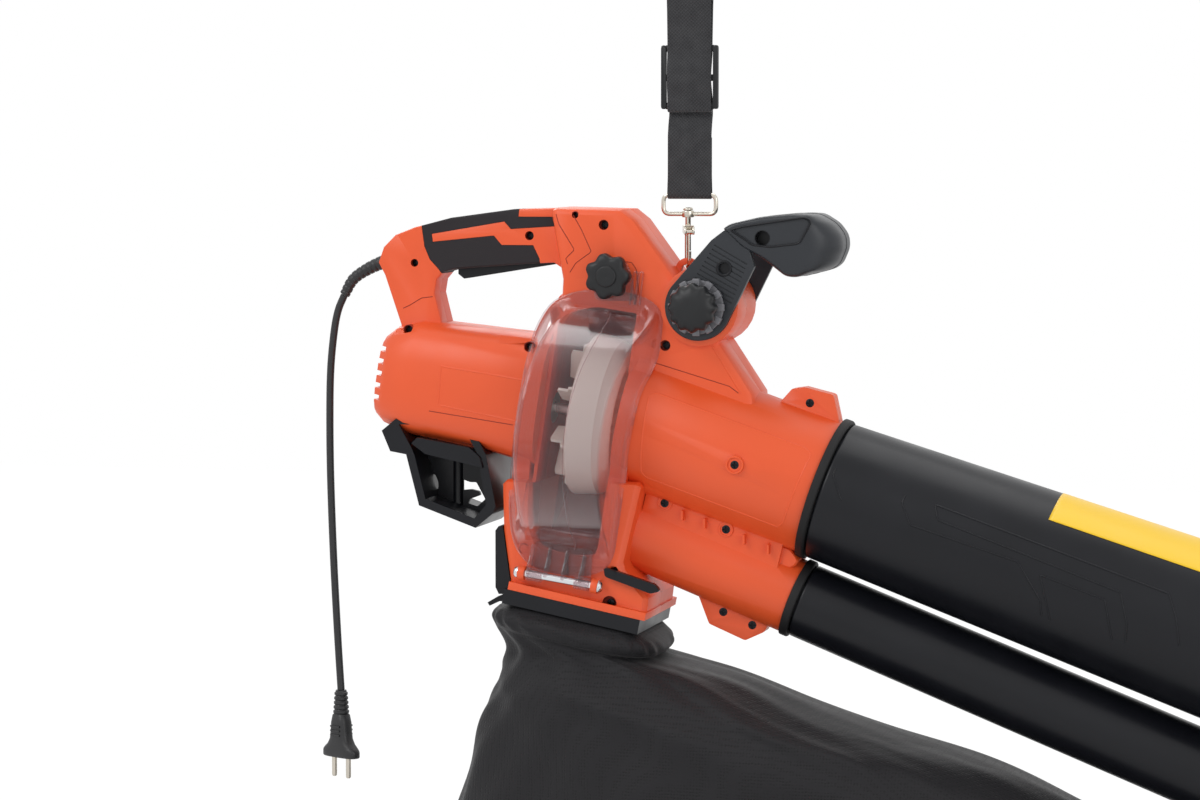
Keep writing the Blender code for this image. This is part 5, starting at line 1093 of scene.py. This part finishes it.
class BLOWER_OT_tubes(bpy.types.Operator):
    """Builds the two seals and the four tubes"""

    bl_idname = "blower.tubes"
    bl_label = "Tubes"

    # Stations of the upper tubes' shoulder and end, and the tubes' wall
    SHOULDER = 9.0
    END = 430.0
    WALL = 2.4

    def execute(self, context):
        group = sizes("blower_tubes")
        seal = softened([(58.9, 0.3), (65, 0.3), (65, 6.5), (63.5, 8.0), (58.9, 8.0)], 0.8, 3)
        dress(build("suction_collar", *turned(seal, SUCTION, 96)), "rubber_black", "housing", "suction_seal")
        seal = softened([(31.0, 0.3), (36, 0.3), (36, 6.8), (35, 8.0), (31.0, 8.0)], 0.6, 3)
        dress(build("blow_collar", *turned(seal, BLOW, 72)), "rubber_black", "housing", "blow_seal")
        self.upper("suction", SUCTION, 58.2, 22.0, group.suction_start / MM, group.suction_joint / MM, 112)
        self.upper("blow", BLOW, 30.2, 18.0, group.blow_start / MM, group.blow_joint / MM, 72)
        self.lower("suction", SUCTION, group.suction_joint / MM, 78.5, 78.5, 820.0, 112, cut=(775.0, 28.0))
        self.lower("blow", BLOW, group.blow_joint / MM, 37.5, 29.0, 860.0, 72)
        self.marks(group.suction_start / MM, group.suction_joint / MM)
        return {"FINISHED"}

    def marks(self, start, joint):
        """Moulded lines and a plain yellow patch on the suction tube, by station and angle from -Y towards +Z.

        At station s the tube's radius is start + (joint - start) (s - 9) / 421.
        """
        def skin(station, angle, lift):
            r = start + (joint - start) * (station - self.SHOULDER) / (self.END - self.SHOULDER) + lift
            angle = np.radians(angle)
            return placed(np.stack([station, -r * np.cos(angle), r * np.sin(angle)], axis=-1) * MM, SUCTION)

        lines = (((345, -8), (334.4, 8.9), (321.8, 22.6), (107.7, 26.5), (114.5, 15.9), (283.2, 12.0), (297.6, -7.4),
                  (301, -20)), ((80.3, 26), (80.3, 18.9), (93.6, 5.2), (192.3, 7.3), (220.8, -13.1), (226, -24)),
                 ((234, -26), (230, -18.2), (213.8, 4.1), (273, 3.6), (289.7, -22)),
                 ((15, 27), (15, 21.2), (29.4, 4.7)))
        # The length on the tube of one degree round it
        degree = 1.15
        bars = []
        for points in lines:
            corners = np.array(points, float)
            run = lengths(corners * (1.0, degree))
            steps = np.linspace(0, run[-1], int(run[-1] / SPACING) + 2)
            route = skin(np.interp(steps, run, corners[:, 0]), np.interp(steps, run, corners[:, 1]), -0.2)
            bars.append(swept(route, 0.9 * MM, 8))
        dress(build("suction_tube_lines", *merged(*bars)), "polypropylene_black", "housing", sharp=60)
        station, angle = np.meshgrid(np.linspace(203, 372, 44), np.linspace(46, 95, 30), indexing="ij")
        piece = build("plain_patch", skin(station, angle, 0.22).reshape(-1, 3), grid_faces(44, 30))
        sheet = piece.modifiers.new("sheet", "SOLIDIFY")
        sheet.thickness = 0.2 * MM
        dress(piece, "vinyl_yellow", "housing", sharp=60)

    def upper(self, kind, place, spigot_radius, spigot, start, joint, sides):
        """A cone from a spigot to the joint: radius grows evenly from the shoulder to the joint."""
        wall, shoulder, end = self.WALL, self.SHOULDER, self.END
        station = np.concatenate([[shoulder, 9.6, 10.6], np.linspace(12.0, 428.0, 60), [429.4, end]])
        radius = start + (joint - start) * (station - shoulder) / (end - shoulder)
        radius[0] -= 1.2
        radius[1] -= 0.4
        radius[-1] -= 0.6
        outer = np.column_stack([radius, station])
        inner = [(joint - wall, end), (start - wall, 12.0), (spigot_radius - wall, 11.0),
                 (spigot_radius - wall, -spigot), (spigot_radius, -spigot), (spigot_radius, shoulder)]
        piece = build(f"{kind}_tube_top", *turned(np.vstack([outer, inner]), place, sides))
        dress(piece, "polypropylene_black", "housing", f"{kind}_tube_upper")

    def lower(self, kind, place, joint, radius, tip, end, sides, cut=None):
        """A sleeve over the upper tube's end, then a straight run and a taper over the last fifth to the mouth.

        Where the mouth is cut at a slant, each line of the tube ends at s = c - r sin a tan t.
        """
        wall, taper = self.WALL, end * 0.8
        station = np.concatenate([[396.0, 396.6, 398.0], np.linspace(402, taper, 20), np.linspace(taper, end, 12)[1:]])
        run = np.clip((station - taper) / (end * 0.2), 0, 1)
        outer = radius + (tip - radius) * run
        outer[0] -= 1.0
        outer[1] -= 0.3
        inside = [(tip - wall, end), (radius - wall - 1.0, taper), (joint - wall, 431.3), (joint + 0.5, 430.3),
                  (joint + 0.5, 396.0)]
        profile = np.vstack([np.column_stack([outer, station]), inside])
        vertices, faces = turned(profile, WORLD, sides)
        if cut is not None:
            middle, slant = cut
            limit = middle * MM - vertices[:, 2] * math.tan(math.radians(slant))
            vertices[:, 0] = np.minimum(vertices[:, 0], limit)
        piece = build(f"{kind}_tube_end", placed(vertices, place), faces)
        dress(piece, "polypropylene_black", "housing", f"{kind}_tube_lower")


class BLOWER_OT_wheels(bpy.types.Operator):
    """Builds the support wheels and their bracket"""

    bl_idname = "blower.wheels"
    bl_label = "Wheels"

    def execute(self, context):
        rounded_copy("wheel_bracket", "polypropylene_black", "housing", width=0.8)
        axle = shifted(BLOW, (640, 0, -76))
        for name, side in (("wheel_right", -1), ("wheel_left", 1)):
            turn = spun(axle, 90.0 * side, "Z")
            start, stop = 14.0, 32.0
            rim = [(4.5, start), (8, start), (8, start + 3), (22, start + 3), (24, start), (30, start), (32, start + 2)]
            rim += [(32 - 0.7 * (k % 2), start + 4 + 1.25 * k) for k in range(9)]
            rim += [(32, stop - 2), (30, stop), (24, stop), (22, stop - 5), (9, stop - 5), (9, stop), (4.5, stop)]
            piece = build(name + "_tyre", *turned(rim, turn, 72))
            dress(piece, "rubber_black", name, name)
        return {"FINISHED"}


class BLOWER_OT_screws(bpy.types.Operator):
    """Builds the black cross-head screws"""

    bl_idname = "blower.screws"
    bl_label = "Screws"

    def execute(self, context):
        # x, z and how far the head's seat stands out towards -Y
        places = {"screw_upper_tab": (113, -116.5, 9), "screw_suction": (57, -168, 64),
                  "screw_web_rear": (-15, -207, 26), "screw_web_front": (41, -229, 26),
                  "screw_lower_tab_rear": (35, -305, 9), "screw_lower_tab_front": (61.5, -316, 9)}
        for name, (x, z, face) in places.items():
            piece = build(name + "_head", *self.screw(x, z, face))
            dress(piece, "oxide_steel", "housing", name, sharp=30)
        return {"FINISHED"}

    @staticmethod
    def screw(x, z, face, radius=3.9, behind=12.0):
        """A pan head whose top falls to a cross: depth is 1.3 mm where |u| or |v| is under the slot's half width.

        The head stands 0.4 mm proud and falls by 0.5 (r / radius)^3. The shank ends so many millimetres behind
        its seat.
        """
        sides = 72
        top = -face - 0.4
        ring = np.linspace(0.0, radius - 0.1, 15)
        angle = np.linspace(0, 2 * math.pi, sides, endpoint=False)
        u, v = ring[:, None] * np.cos(angle), ring[:, None] * np.sin(angle)
        near = np.minimum(np.abs(u), np.abs(v))
        reach = np.maximum(np.abs(u), np.abs(v))
        slot = (near < 0.55) & (reach < 0.65 * radius)
        dome = 0.5 * (ring[:, None] / radius) ** 3
        depth = top + dome + np.where(slot, 1.3, 0.0)
        cap = np.stack([np.broadcast_to(depth, u.shape), u, v], axis=-1)
        side = []
        end = -face + behind
        for s, r in ((top + 0.9, radius), (top + 2.4, radius), (top + 2.4, 1.9), (end, 1.9), (end, 0.02)):
            side.append(np.stack([np.full(sides, s), r * np.cos(angle), r * np.sin(angle)], axis=-1))
        points = np.concatenate([cap, np.stack(side)]) * MM
        return placed(points.reshape(-1, 3), sideways(x, z)), grid_faces(len(points), sides, False, True, caps=True)


class BLOWER_OT_bag(bpy.types.Operator):
    """Builds the collar, its latch, the flap with its lever, the cord holder, the cloth bag and the bag's strap"""

    bl_idname = "blower.bag"
    bl_label = "Bag"

    def execute(self, context):
        for node, finish, body in (("bag_collar", "polypropylene_black", "housing"),
                                   ("bag_latch", "polypropylene_black", "bag_latch"),
                                   ("diverter", "polypropylene_black", "diverter"),
                                   ("cord_holder", "polypropylene_black", "housing")):
            rounded_copy(node, finish, body, width=0.9)
        self.lever(bpy.data.objects["diverter_shell"])
        self.holder()
        self.bag()
        self.strap()
        return {"FINISHED"}

    @staticmethod
    def lever(piece):
        """Draws the mode lever, the flap's part beyond y = -53.5 mm, to 0.6 of its height about its middle line."""
        points = np.empty(len(piece.data.vertices) * 3)
        piece.data.vertices.foreach_get("co", points)
        points = points.reshape(-1, 3)
        across = np.array([0.275, 0.0, 0.961])
        off = (points - np.array([-55, 0, -266]) * MM) @ across + 1.9 * MM
        outside = points[:, 1] < -53.5 * MM
        points -= np.where(outside, 0.4 * off, 0.0)[:, None] * across
        piece.data.vertices.foreach_set("co", points.ravel())

    @staticmethod
    def holder():
        """The plate in the middle of the cord holder, with its slot and its hook, and the band over its window."""
        plate = softened([(-266, -148), (-238.7, -143), (-189, -153), (-176, -167), (-171, -204), (-183.5, -219),
                          (-191, -229), (-236, -212), (-240, -206), (-252, -166)], 2.0, 3)
        piece = build("holder_web", *extruded(plate, (-2.0, 2.0)))
        slot = softened([(-243.4, -190.2), (-240.5, -188.3), (-235.8, -188.2), (-232.9, -195.4), (-233, -201.9),
                         (-237.7, -202.9), (-240.6, -204.8), (-243.4, -195.7)], 2.0, 3)
        hook = softened([(-218.6, -190.5), (-210.1, -192.2), (-202.5, -194.7), (-196.8, -194.6), (-188.3, -209.9),
                         (-195.9, -216.5), (-204.4, -214), (-203.5, -210.3), (-193, -206.4), (-194, -202.8),
                         (-201.5, -201.1), (-212, -202.3), (-215.8, -203.3)], 1.2, 3)
        carved(piece, extruded(slot, (-6, 6)), extruded(hook, (-6, 6)))
        dress(piece, "polypropylene_black", "housing", sharp=35)
        band = softened([(-246.3, -156.7), (-240.6, -151.1), (-190.8, -159.1), (-180.6, -167.9), (-177.8, -177.8),
                         (-233.1, -166.4)], 1.5, 3)
        rows = ((-44.0, 1.0), (-43.2, 0.2), (-40.5, 0.0), (-39.0, 0.0))
        dress(build("holder_band", *extruded(band, rows)), "polypropylene_black", "housing", sharp=40)

    @staticmethod
    def bag():
        """Rings of a superellipse from the mouth over a bulge to the hanging bag, with folds.

        A fold adds A(t) sin(n a + p) along the ring's outward direction, strongest where the cloth is gathered
        under the bulge.
        """
        # At the mouth: height, middle, half width and half thickness in the flange's frame, and the ring's power
        neck = ((-14.5, -2.5, 60.4, 56.9, 0.25), (-17.5, -2.8, 68, 61.5, 0.4), (-22, -3, 75.5, 67, 0.5),
                (-28, -3, 78.5, 69.5, 0.55), (-34, -3, 77.5, 67.5, 0.6), (-39, -3, 75, 62.5, 0.65))
        # Below it: height, rear, front, half thickness, and how steeply the ring falls towards the front
        rings = ((-352, -164, 50, 67, 0.114), (-373, -170, 124, 80, 0.114), (-391, -176, 198, 90, 0.114),
                 (-409, -181, 285, 96, 0.114), (-436, -189, 360, 100, 0.11), (-475, -200, 440, 103, 0.09),
                 (-535, -221, 525, 100, 0.06), (-605, -238, 555, 90, 0.03), (-690, -206, 490, 64, 0.0),
                 (-738, -120, 330, 30, 0.0))
        angle = np.linspace(0, 2 * math.pi, 240, endpoint=False)
        layers = []
        for height, middle, wide, thick, power in neck:
            x = middle + wide * superellipse(np.cos(angle), power)
            y = thick * superellipse(np.sin(angle), power)
            layers.append(placed(np.column_stack([x, y, np.full(len(x), height)]) * MM, FLANGE))
        power = 2 / 2.4
        for height, rear, front, half, slope in rings:
            x = (front - rear) / 2 * superellipse(np.cos(angle), power)
            y = half * superellipse(np.sin(angle), power)
            layers.append(np.column_stack([(front + rear) / 2 + x, y, height - slope * x]) * MM)
        layers = np.stack(layers)
        count, rows = len(layers), 190
        t = np.linspace(0, count - 1, rows)[:, None]
        fine = np.stack([smooth_route(layers[:, k], rows) for k in range(len(angle))], axis=1)
        away = fine - fine.mean(axis=1, keepdims=True)
        away[..., 2] = 0
        away /= np.linalg.norm(away, axis=2, keepdims=True) + 1e-9
        gather = np.exp(-((t - 6.0) / 1.0) ** 2)
        bulge = np.exp(-((t - 3.0) / 1.2) ** 2)
        hang = np.clip((t - 6) / 5, 0, 1) * np.clip((count - 1 - t) / 2, 0, 1)
        fold = gather * 2.6 * np.sin(13 * angle + 2.2 * t) + bulge * 0.9 * np.sin(21 * angle - 1.3 * t)
        # One long fold runs down from the near front corner of the mouth, and shallow ones fan out below
        long = np.exp(-((np.cos(angle - 5.6 + 0.06 * t) - 1) / 0.012) ** 2) * np.clip((t - 5.2) / 1.5, 0, 1)
        fold += long * 5.0 * np.clip((count - 2 - t) / 5, 0, 1)
        fold += hang * (3.8 * np.sin(5 * angle + 0.9 * t) + 2.6 * np.sin(9 * angle - 1.7 * t + 1.0)
                        + 1.2 * np.sin(23 * angle + 3.1 * t))
        fine = fine + away * (fold[..., None] - np.clip(hang[..., None] * 3, 0, 3)) * MM
        piece = build("leaf_bag", fine.reshape(-1, 3), grid_faces(rows, len(angle), False, True)
                      + [(np.arange(len(angle)) + (rows - 1) * len(angle)).tolist()])
        wall = piece.modifiers.new("cloth", "SOLIDIFY")
        wall.thickness = 0.9 * MM
        wall.offset = -1.0
        dress(piece, "polypropylene_nonwoven", "housing", "collection_bag", sharp=80)

    @staticmethod
    def strap():
        """A band round the blow tube and its tail down to the bag."""
        place = shifted(BLOW, (470, 0, 0))
        band = softened([(37.8, -12), (39.6, -12), (39.6, 12), (37.8, 12)], 0.4, 2)
        tail = extruded(softened([(521, -498), (524.5, -499), (510, -592), (507, -592)], 0.8, 2), (-12, 12))
        vertices, faces = merged(turned(band, place, 72), tail)
        uv = vertices[:, 1:] / MM
        piece = build("bag_band", vertices, faces, uv=uv)
        dress(piece, "webbing_black", "housing", "bag_strap")


class BLOWER_OT_strap(bpy.types.Operator):
    """Builds the shoulder strap with its slider, ring and snap hook"""

    bl_idname = "blower.strap"
    bl_label = "Shoulder strap"

    # How far the strap's middle line stands in front of the eye
    MIDDLE = 1.5

    def execute(self, context):
        self.webbing()
        self.slider()
        self.ring()
        self.hook()
        return {"FINISHED"}

    def webbing(self):
        """A flat ribbon along its path in the YZ plane, with its UV map in millimetres.

        The path's normal times half the thickness gives both faces, and the edges close them.
        """
        up = [(1.0, 118), (1.0, 84), (2.2, 75), (3.1, 67), (2.2, 64.8), (0, 63.9), (-2.2, 64.8), (-3.1, 67), (-2.2, 75),
              (-1.0, 84), (-1.0, 120), (1.2, 129), (4.6, 138), (4.6, 150), (0.9, 158.5), (-2.6, 166.5), (-2.6, 175.5),
              (0, 184), (2.6, 192.5), (2.6, 203), (4.5, 230)]
        arc = np.arange(9) * math.pi / 8
        over = np.column_stack([30 * np.cos(arc), 450 + 30 * np.sin(arc)])
        down = [(-4.5, 230), (-2.9, 203), (-2.9, 192), (-4.6, 178), (-4.6, 165), (-3.1, 155), (-2.7, 145), (-2.5, 142),
                (-1.4, 141.2), (1.4, 141.2), (2.5, 142), (2.7, 145), (2.7, 149)]
        path = softened(np.vstack([up, over, down]), 2.0, 3, closed=False)
        along = np.gradient(path, axis=0)
        along /= np.linalg.norm(along, axis=1, keepdims=True) + 1e-12
        normal = np.column_stack([-along[:, 1], along[:, 0]])
        run = lengths(path)
        half, thick = 20.0, 0.8
        across = np.array([-1.0, -0.985, -0.95, 0.95, 0.985, 1.0]) * half
        height = np.array([0.0, 0.75, 1.0, 1.0, 0.75, 0.0]) * thick
        x = np.concatenate([across, across[::-1][1:-1]])
        h = np.concatenate([height, -height[::-1][1:-1]])
        shape = (len(path), len(x))
        points = np.stack([np.broadcast_to(self.MIDDLE + x, shape), path[:, :1] + normal[:, :1] * h,
                           path[:, 1:] + normal[:, 1:] * h], axis=-1) * MM
        uv = np.stack([np.broadcast_to(x, shape), np.broadcast_to(run[:, None], shape)], axis=-1)
        piece = build("shoulder_webbing", points.reshape(-1, 3), grid_faces(len(path), len(x), False, True, caps=True),
                      uv=uv, weld=0)
        dress(piece, "webbing_black", "strap", "strap_webbing", sharp=60)

    def slider(self):
        """Two side bars and three cross bars, which are ellipses 3 mm deep and 6 mm high."""
        place = shifted(WORLD, (self.MIDDLE, 0, 0))
        parts = []
        for side in (-1, 1):
            near, far, foot, top = side * 21.3, side * 26, 143.2, 199.8
            outline = softened([(near, foot), (far, foot), (far, top), (near, top)], 2.4, 3)
            parts.append(extruded(outline, ((-2.6, 0.9), (-1.9, 0.0), (1.0, 0.0), (1.5, 0.6)), place))
        angle = np.linspace(0, 2 * math.pi, 20, endpoint=False)
        for bar in (146.0, 171.0, 197.0):
            rings = np.stack([np.column_stack([np.full(20, x), np.cos(angle) * 1.5, bar + np.sin(angle) * 3.0])
                              for x in (-21.8, 21.8)]) * MM
            parts.append((placed(rings.reshape(-1, 3), place), grid_faces(2, 20, False, True, caps=True)))
        dress(build("strap_buckle", *merged(*parts)), "nylon_black", "strap", "strap_slider", sharp=40)

    @staticmethod
    def ring():
        """A wire of 4 mm round a rectangle with round corners, and a flat swivel boss on its lower bar."""
        route = softened([(-22.5, 50), (25.5, 50), (25.5, 67), (-22.5, 67)], 6.0, 8)
        wire = swept(at_depth(route) * MM, 2.0 * MM, 20, closed=True)
        boss = softened([(2.8, 47), (5.5, 47), (5.5, 53), (2.8, 53)], 0.8, 3)
        upright = spun(WORLD, -90.0, "Y")
        dress(build("wire_ring", *merged(wire, turned(boss, upright, 40))), "nickel_plate", "strap_ring", "strap_ring",
              sharp=50)

    def hook(self):
        """A bent wire with a body and a swivel post, and the sprung gate that closes it."""
        turn = spun(WORLD, 20.0, "Z")
        arc = -np.arange(17) * math.pi / 16
        side = np.vstack([[(3, 37.5), (7, 35.5), (9.3, 31), (9.6, 21)],
                          np.column_stack([9 * np.cos(arc), 11.4 + 9 * np.sin(arc)]), [(-9.4, 17)]])
        side = softened(side, 2.0, 4, closed=False)
        route = placed(np.column_stack([np.zeros(len(side)), side]) * MM, turn)
        wire = swept(route, 1.8 * MM, 18)
        upright = spun(WORLD, -90.0, "Y")
        stem = softened([(0.05, 37), (2.5, 37), (2.5, 53.3), (4.5, 53.3), (4.5, 55.0), (3.0, 56.0), (0.05, 56.0)],
                        0.5, 2)
        dress(build("hook_wire", *merged(wire, turned(stem, upright, 32), *self.body(turn))), "nickel_plate",
              "snap_hook", "snap_hook", sharp=50)
        pivot = shifted(turn, (0, -8.5, 34.0))
        barrel = [(0.05, -2.3), (2.3, -2.3), (2.3, 2.3), (0.05, 2.3)]
        pin = [(0.05, -4.4), (1.0, -4.4), (1.0, 4.4), (0.05, 4.4)]
        bar = swept(placed(np.array([(0, -0.8, -16.4), (0, -0.4, -8), (0, 0, 0)]) * MM, pivot), 1.5 * MM, 16)
        dress(build("hook_latch", *merged(turned(barrel, pivot, 24), turned(pin, pivot, 16), bar)), "nickel_plate",
              "hook_gate", "hook_gate", sharp=50)

    @staticmethod
    def body(turn):
        """The hook's body: two cheeks on each side of the gate's hinge, and the block that joins them."""
        place = spun(turn, 90.0, "Z")
        cheek = softened([(-11.5, 31.5), (4.5, 33), (4.5, 40), (-8, 40), (-11.5, 37)], 2.2, 4)
        parts = []
        for low, high in ((-4.5, -2.7), (2.7, 4.5)):
            parts.append(extruded(cheek, ((low, 0.3), (low + 0.4, 0), (high - 0.4, 0), (high, 0.3)), place))
        block = softened([(-4.8, 32.2), (4.4, 33.1), (4.4, 39.9), (-7.8, 39.9), (-6.5, 37.5)], 1.0, 3)
        parts.append(extruded(block, (-2.8, 2.8), place))
        return parts


class BLOWER_OT_stage(bpy.types.Operator):
    """Puts a pale floor and soft studio light round the machine"""

    bl_idname = "blower.stage"
    bl_label = "Stage"

    def execute(self, context):
        # The floor lies 20 mm under the machine, which hangs by its strap
        low = CAD_BOX[0][2] - 0.02
        white = (*sizes("blower_stage").backdrop, 1.0)
        self.floor(low, white)
        self.world(white)
        # Place and size in metres, and power in watts
        lamps = (("key", (-2.2, -3.0, 2.6), 2.2, 62), ("fill", (3.0, -2.4, 0.9), 2.4, 24),
                 ("top", (0.2, 0.6, 3.0), 2.6, 30), ("rim", (-1.5, 2.6, 1.4), 1.6, 18))
        for name, place, size, power in lamps:
            light = bpy.data.lights.new(name, "AREA")
            light.shape = "DISK"
            light.size = size
            light.energy = power
            lamp = bpy.data.objects.new(name, light)
            context.scene.collection.objects.link(lamp)
            towards = Vector((0.0, 0.0, -0.15)) - Vector(place)
            lamp.matrix_world = Matrix.Translation(place) @ towards.to_track_quat("-Z", "Y").to_matrix().to_4x4()
        settings = context.scene.view_settings
        settings.view_transform = "Standard"
        return {"FINISHED"}

    @staticmethod
    def floor(low, white):
        """A flat square under the machine, seen white and still taking its shadow."""
        corners = np.array([(-6, -6, low), (6, -6, low), (6, 6, low), (-6, 6, low)])
        mesh = bpy.data.meshes.new("floor")
        mesh.from_pydata(corners.tolist(), [], [(0, 1, 2, 3)])
        piece = bpy.data.objects.new("floor", mesh)
        bpy.context.scene.collection.objects.link(piece)
        paper_white, tree, output = new_material("paper_white")
        path = add(tree, "ShaderNodeLightPath")
        paper = add(tree, "ShaderNodeBsdfDiffuse", {"Color": tuple(c * 0.9 for c in white[:3]) + (1.0,)})
        glow = add(tree, "ShaderNodeEmission", {"Color": white, "Strength": 1.04})
        seen = add(tree, "ShaderNodeMath", {0: path.outputs["Is Camera Ray"], 1: 0.92}, operation="MULTIPLY")
        mix = add(tree, "ShaderNodeMixShader", {0: seen.outputs[0], 1: paper.outputs[0], 2: glow.outputs[0]})
        tree.links.new(mix.outputs[0], output.inputs[0])
        mesh.materials.append(paper_white)

    @staticmethod
    def world(white):
        """White where the camera, a reflection or glass sees it, and an even soft light elsewhere."""
        world = bpy.data.worlds.new("studio")
        world.use_nodes = True
        bpy.context.scene.world = world
        tree = world.node_tree
        tree.nodes.clear()
        path = add(tree, "ShaderNodeLightPath")
        direct = add(tree, "ShaderNodeMath", {0: path.outputs["Is Camera Ray"], 1: path.outputs["Is Transmission Ray"]},
                     operation="MAXIMUM")
        clear = add(tree, "ShaderNodeMath", {0: direct.outputs[0], 1: path.outputs["Is Glossy Ray"]},
                    operation="MAXIMUM")
        level = add(tree, "ShaderNodeMapRange", {"Value": clear.outputs[0], "To Min": 0.62, "To Max": 1.0})
        sky = add(tree, "ShaderNodeBackground", {"Color": white, "Strength": level.outputs[0]})
        output = add(tree, "ShaderNodeOutputWorld")
        tree.links.new(sky.outputs[0], output.inputs[0])


class BLOWER_PT_panel(bpy.types.Panel):
    """Lists the machine's pieces and their sizes"""

    bl_label = "Leaf blower"
    bl_idname = "BLOWER_PT_panel"
    bl_space_type = "VIEW_3D"
    bl_region_type = "UI"
    bl_category = "Leaf blower"

    def draw(self, context):
        for name, kind in GROUPS:
            group = getattr(context.scene, name)
            for key in kind.__annotations__:
                self.layout.prop(group, key)
        for kind in OPERATORS:
            self.layout.operator(kind.bl_idname)


GROUPS = (("blower_tubes", BlowerTubes), ("blower_fan", BlowerFan), ("blower_stage", BlowerStage))
OPERATORS = (BLOWER_OT_camera, BLOWER_OT_cord, BLOWER_OT_housing, BLOWER_OT_motor, BLOWER_OT_fan, BLOWER_OT_cover,
             BLOWER_OT_front_handle, BLOWER_OT_tubes, BLOWER_OT_wheels, BLOWER_OT_screws, BLOWER_OT_bag,
             BLOWER_OT_strap, BLOWER_OT_stage)


def register():
    for _, kind in GROUPS:
        bpy.utils.register_class(kind)
    for kind in (*OPERATORS, BLOWER_PT_panel):
        bpy.utils.register_class(kind)
    for name, kind in GROUPS:
        setattr(bpy.types.Scene, name, PointerProperty(type=kind))


def unregister():
    for name, kind in GROUPS:
        delattr(bpy.types.Scene, name)
        bpy.utils.unregister_class(kind)
    for kind in (*OPERATORS, BLOWER_PT_panel):
        bpy.utils.unregister_class(kind)


def main():
    register()
    for kind in OPERATORS:
        group, name = kind.bl_idname.split(".")
        getattr(getattr(bpy.ops, group), name)()


if __name__ == "__main__":
    main()
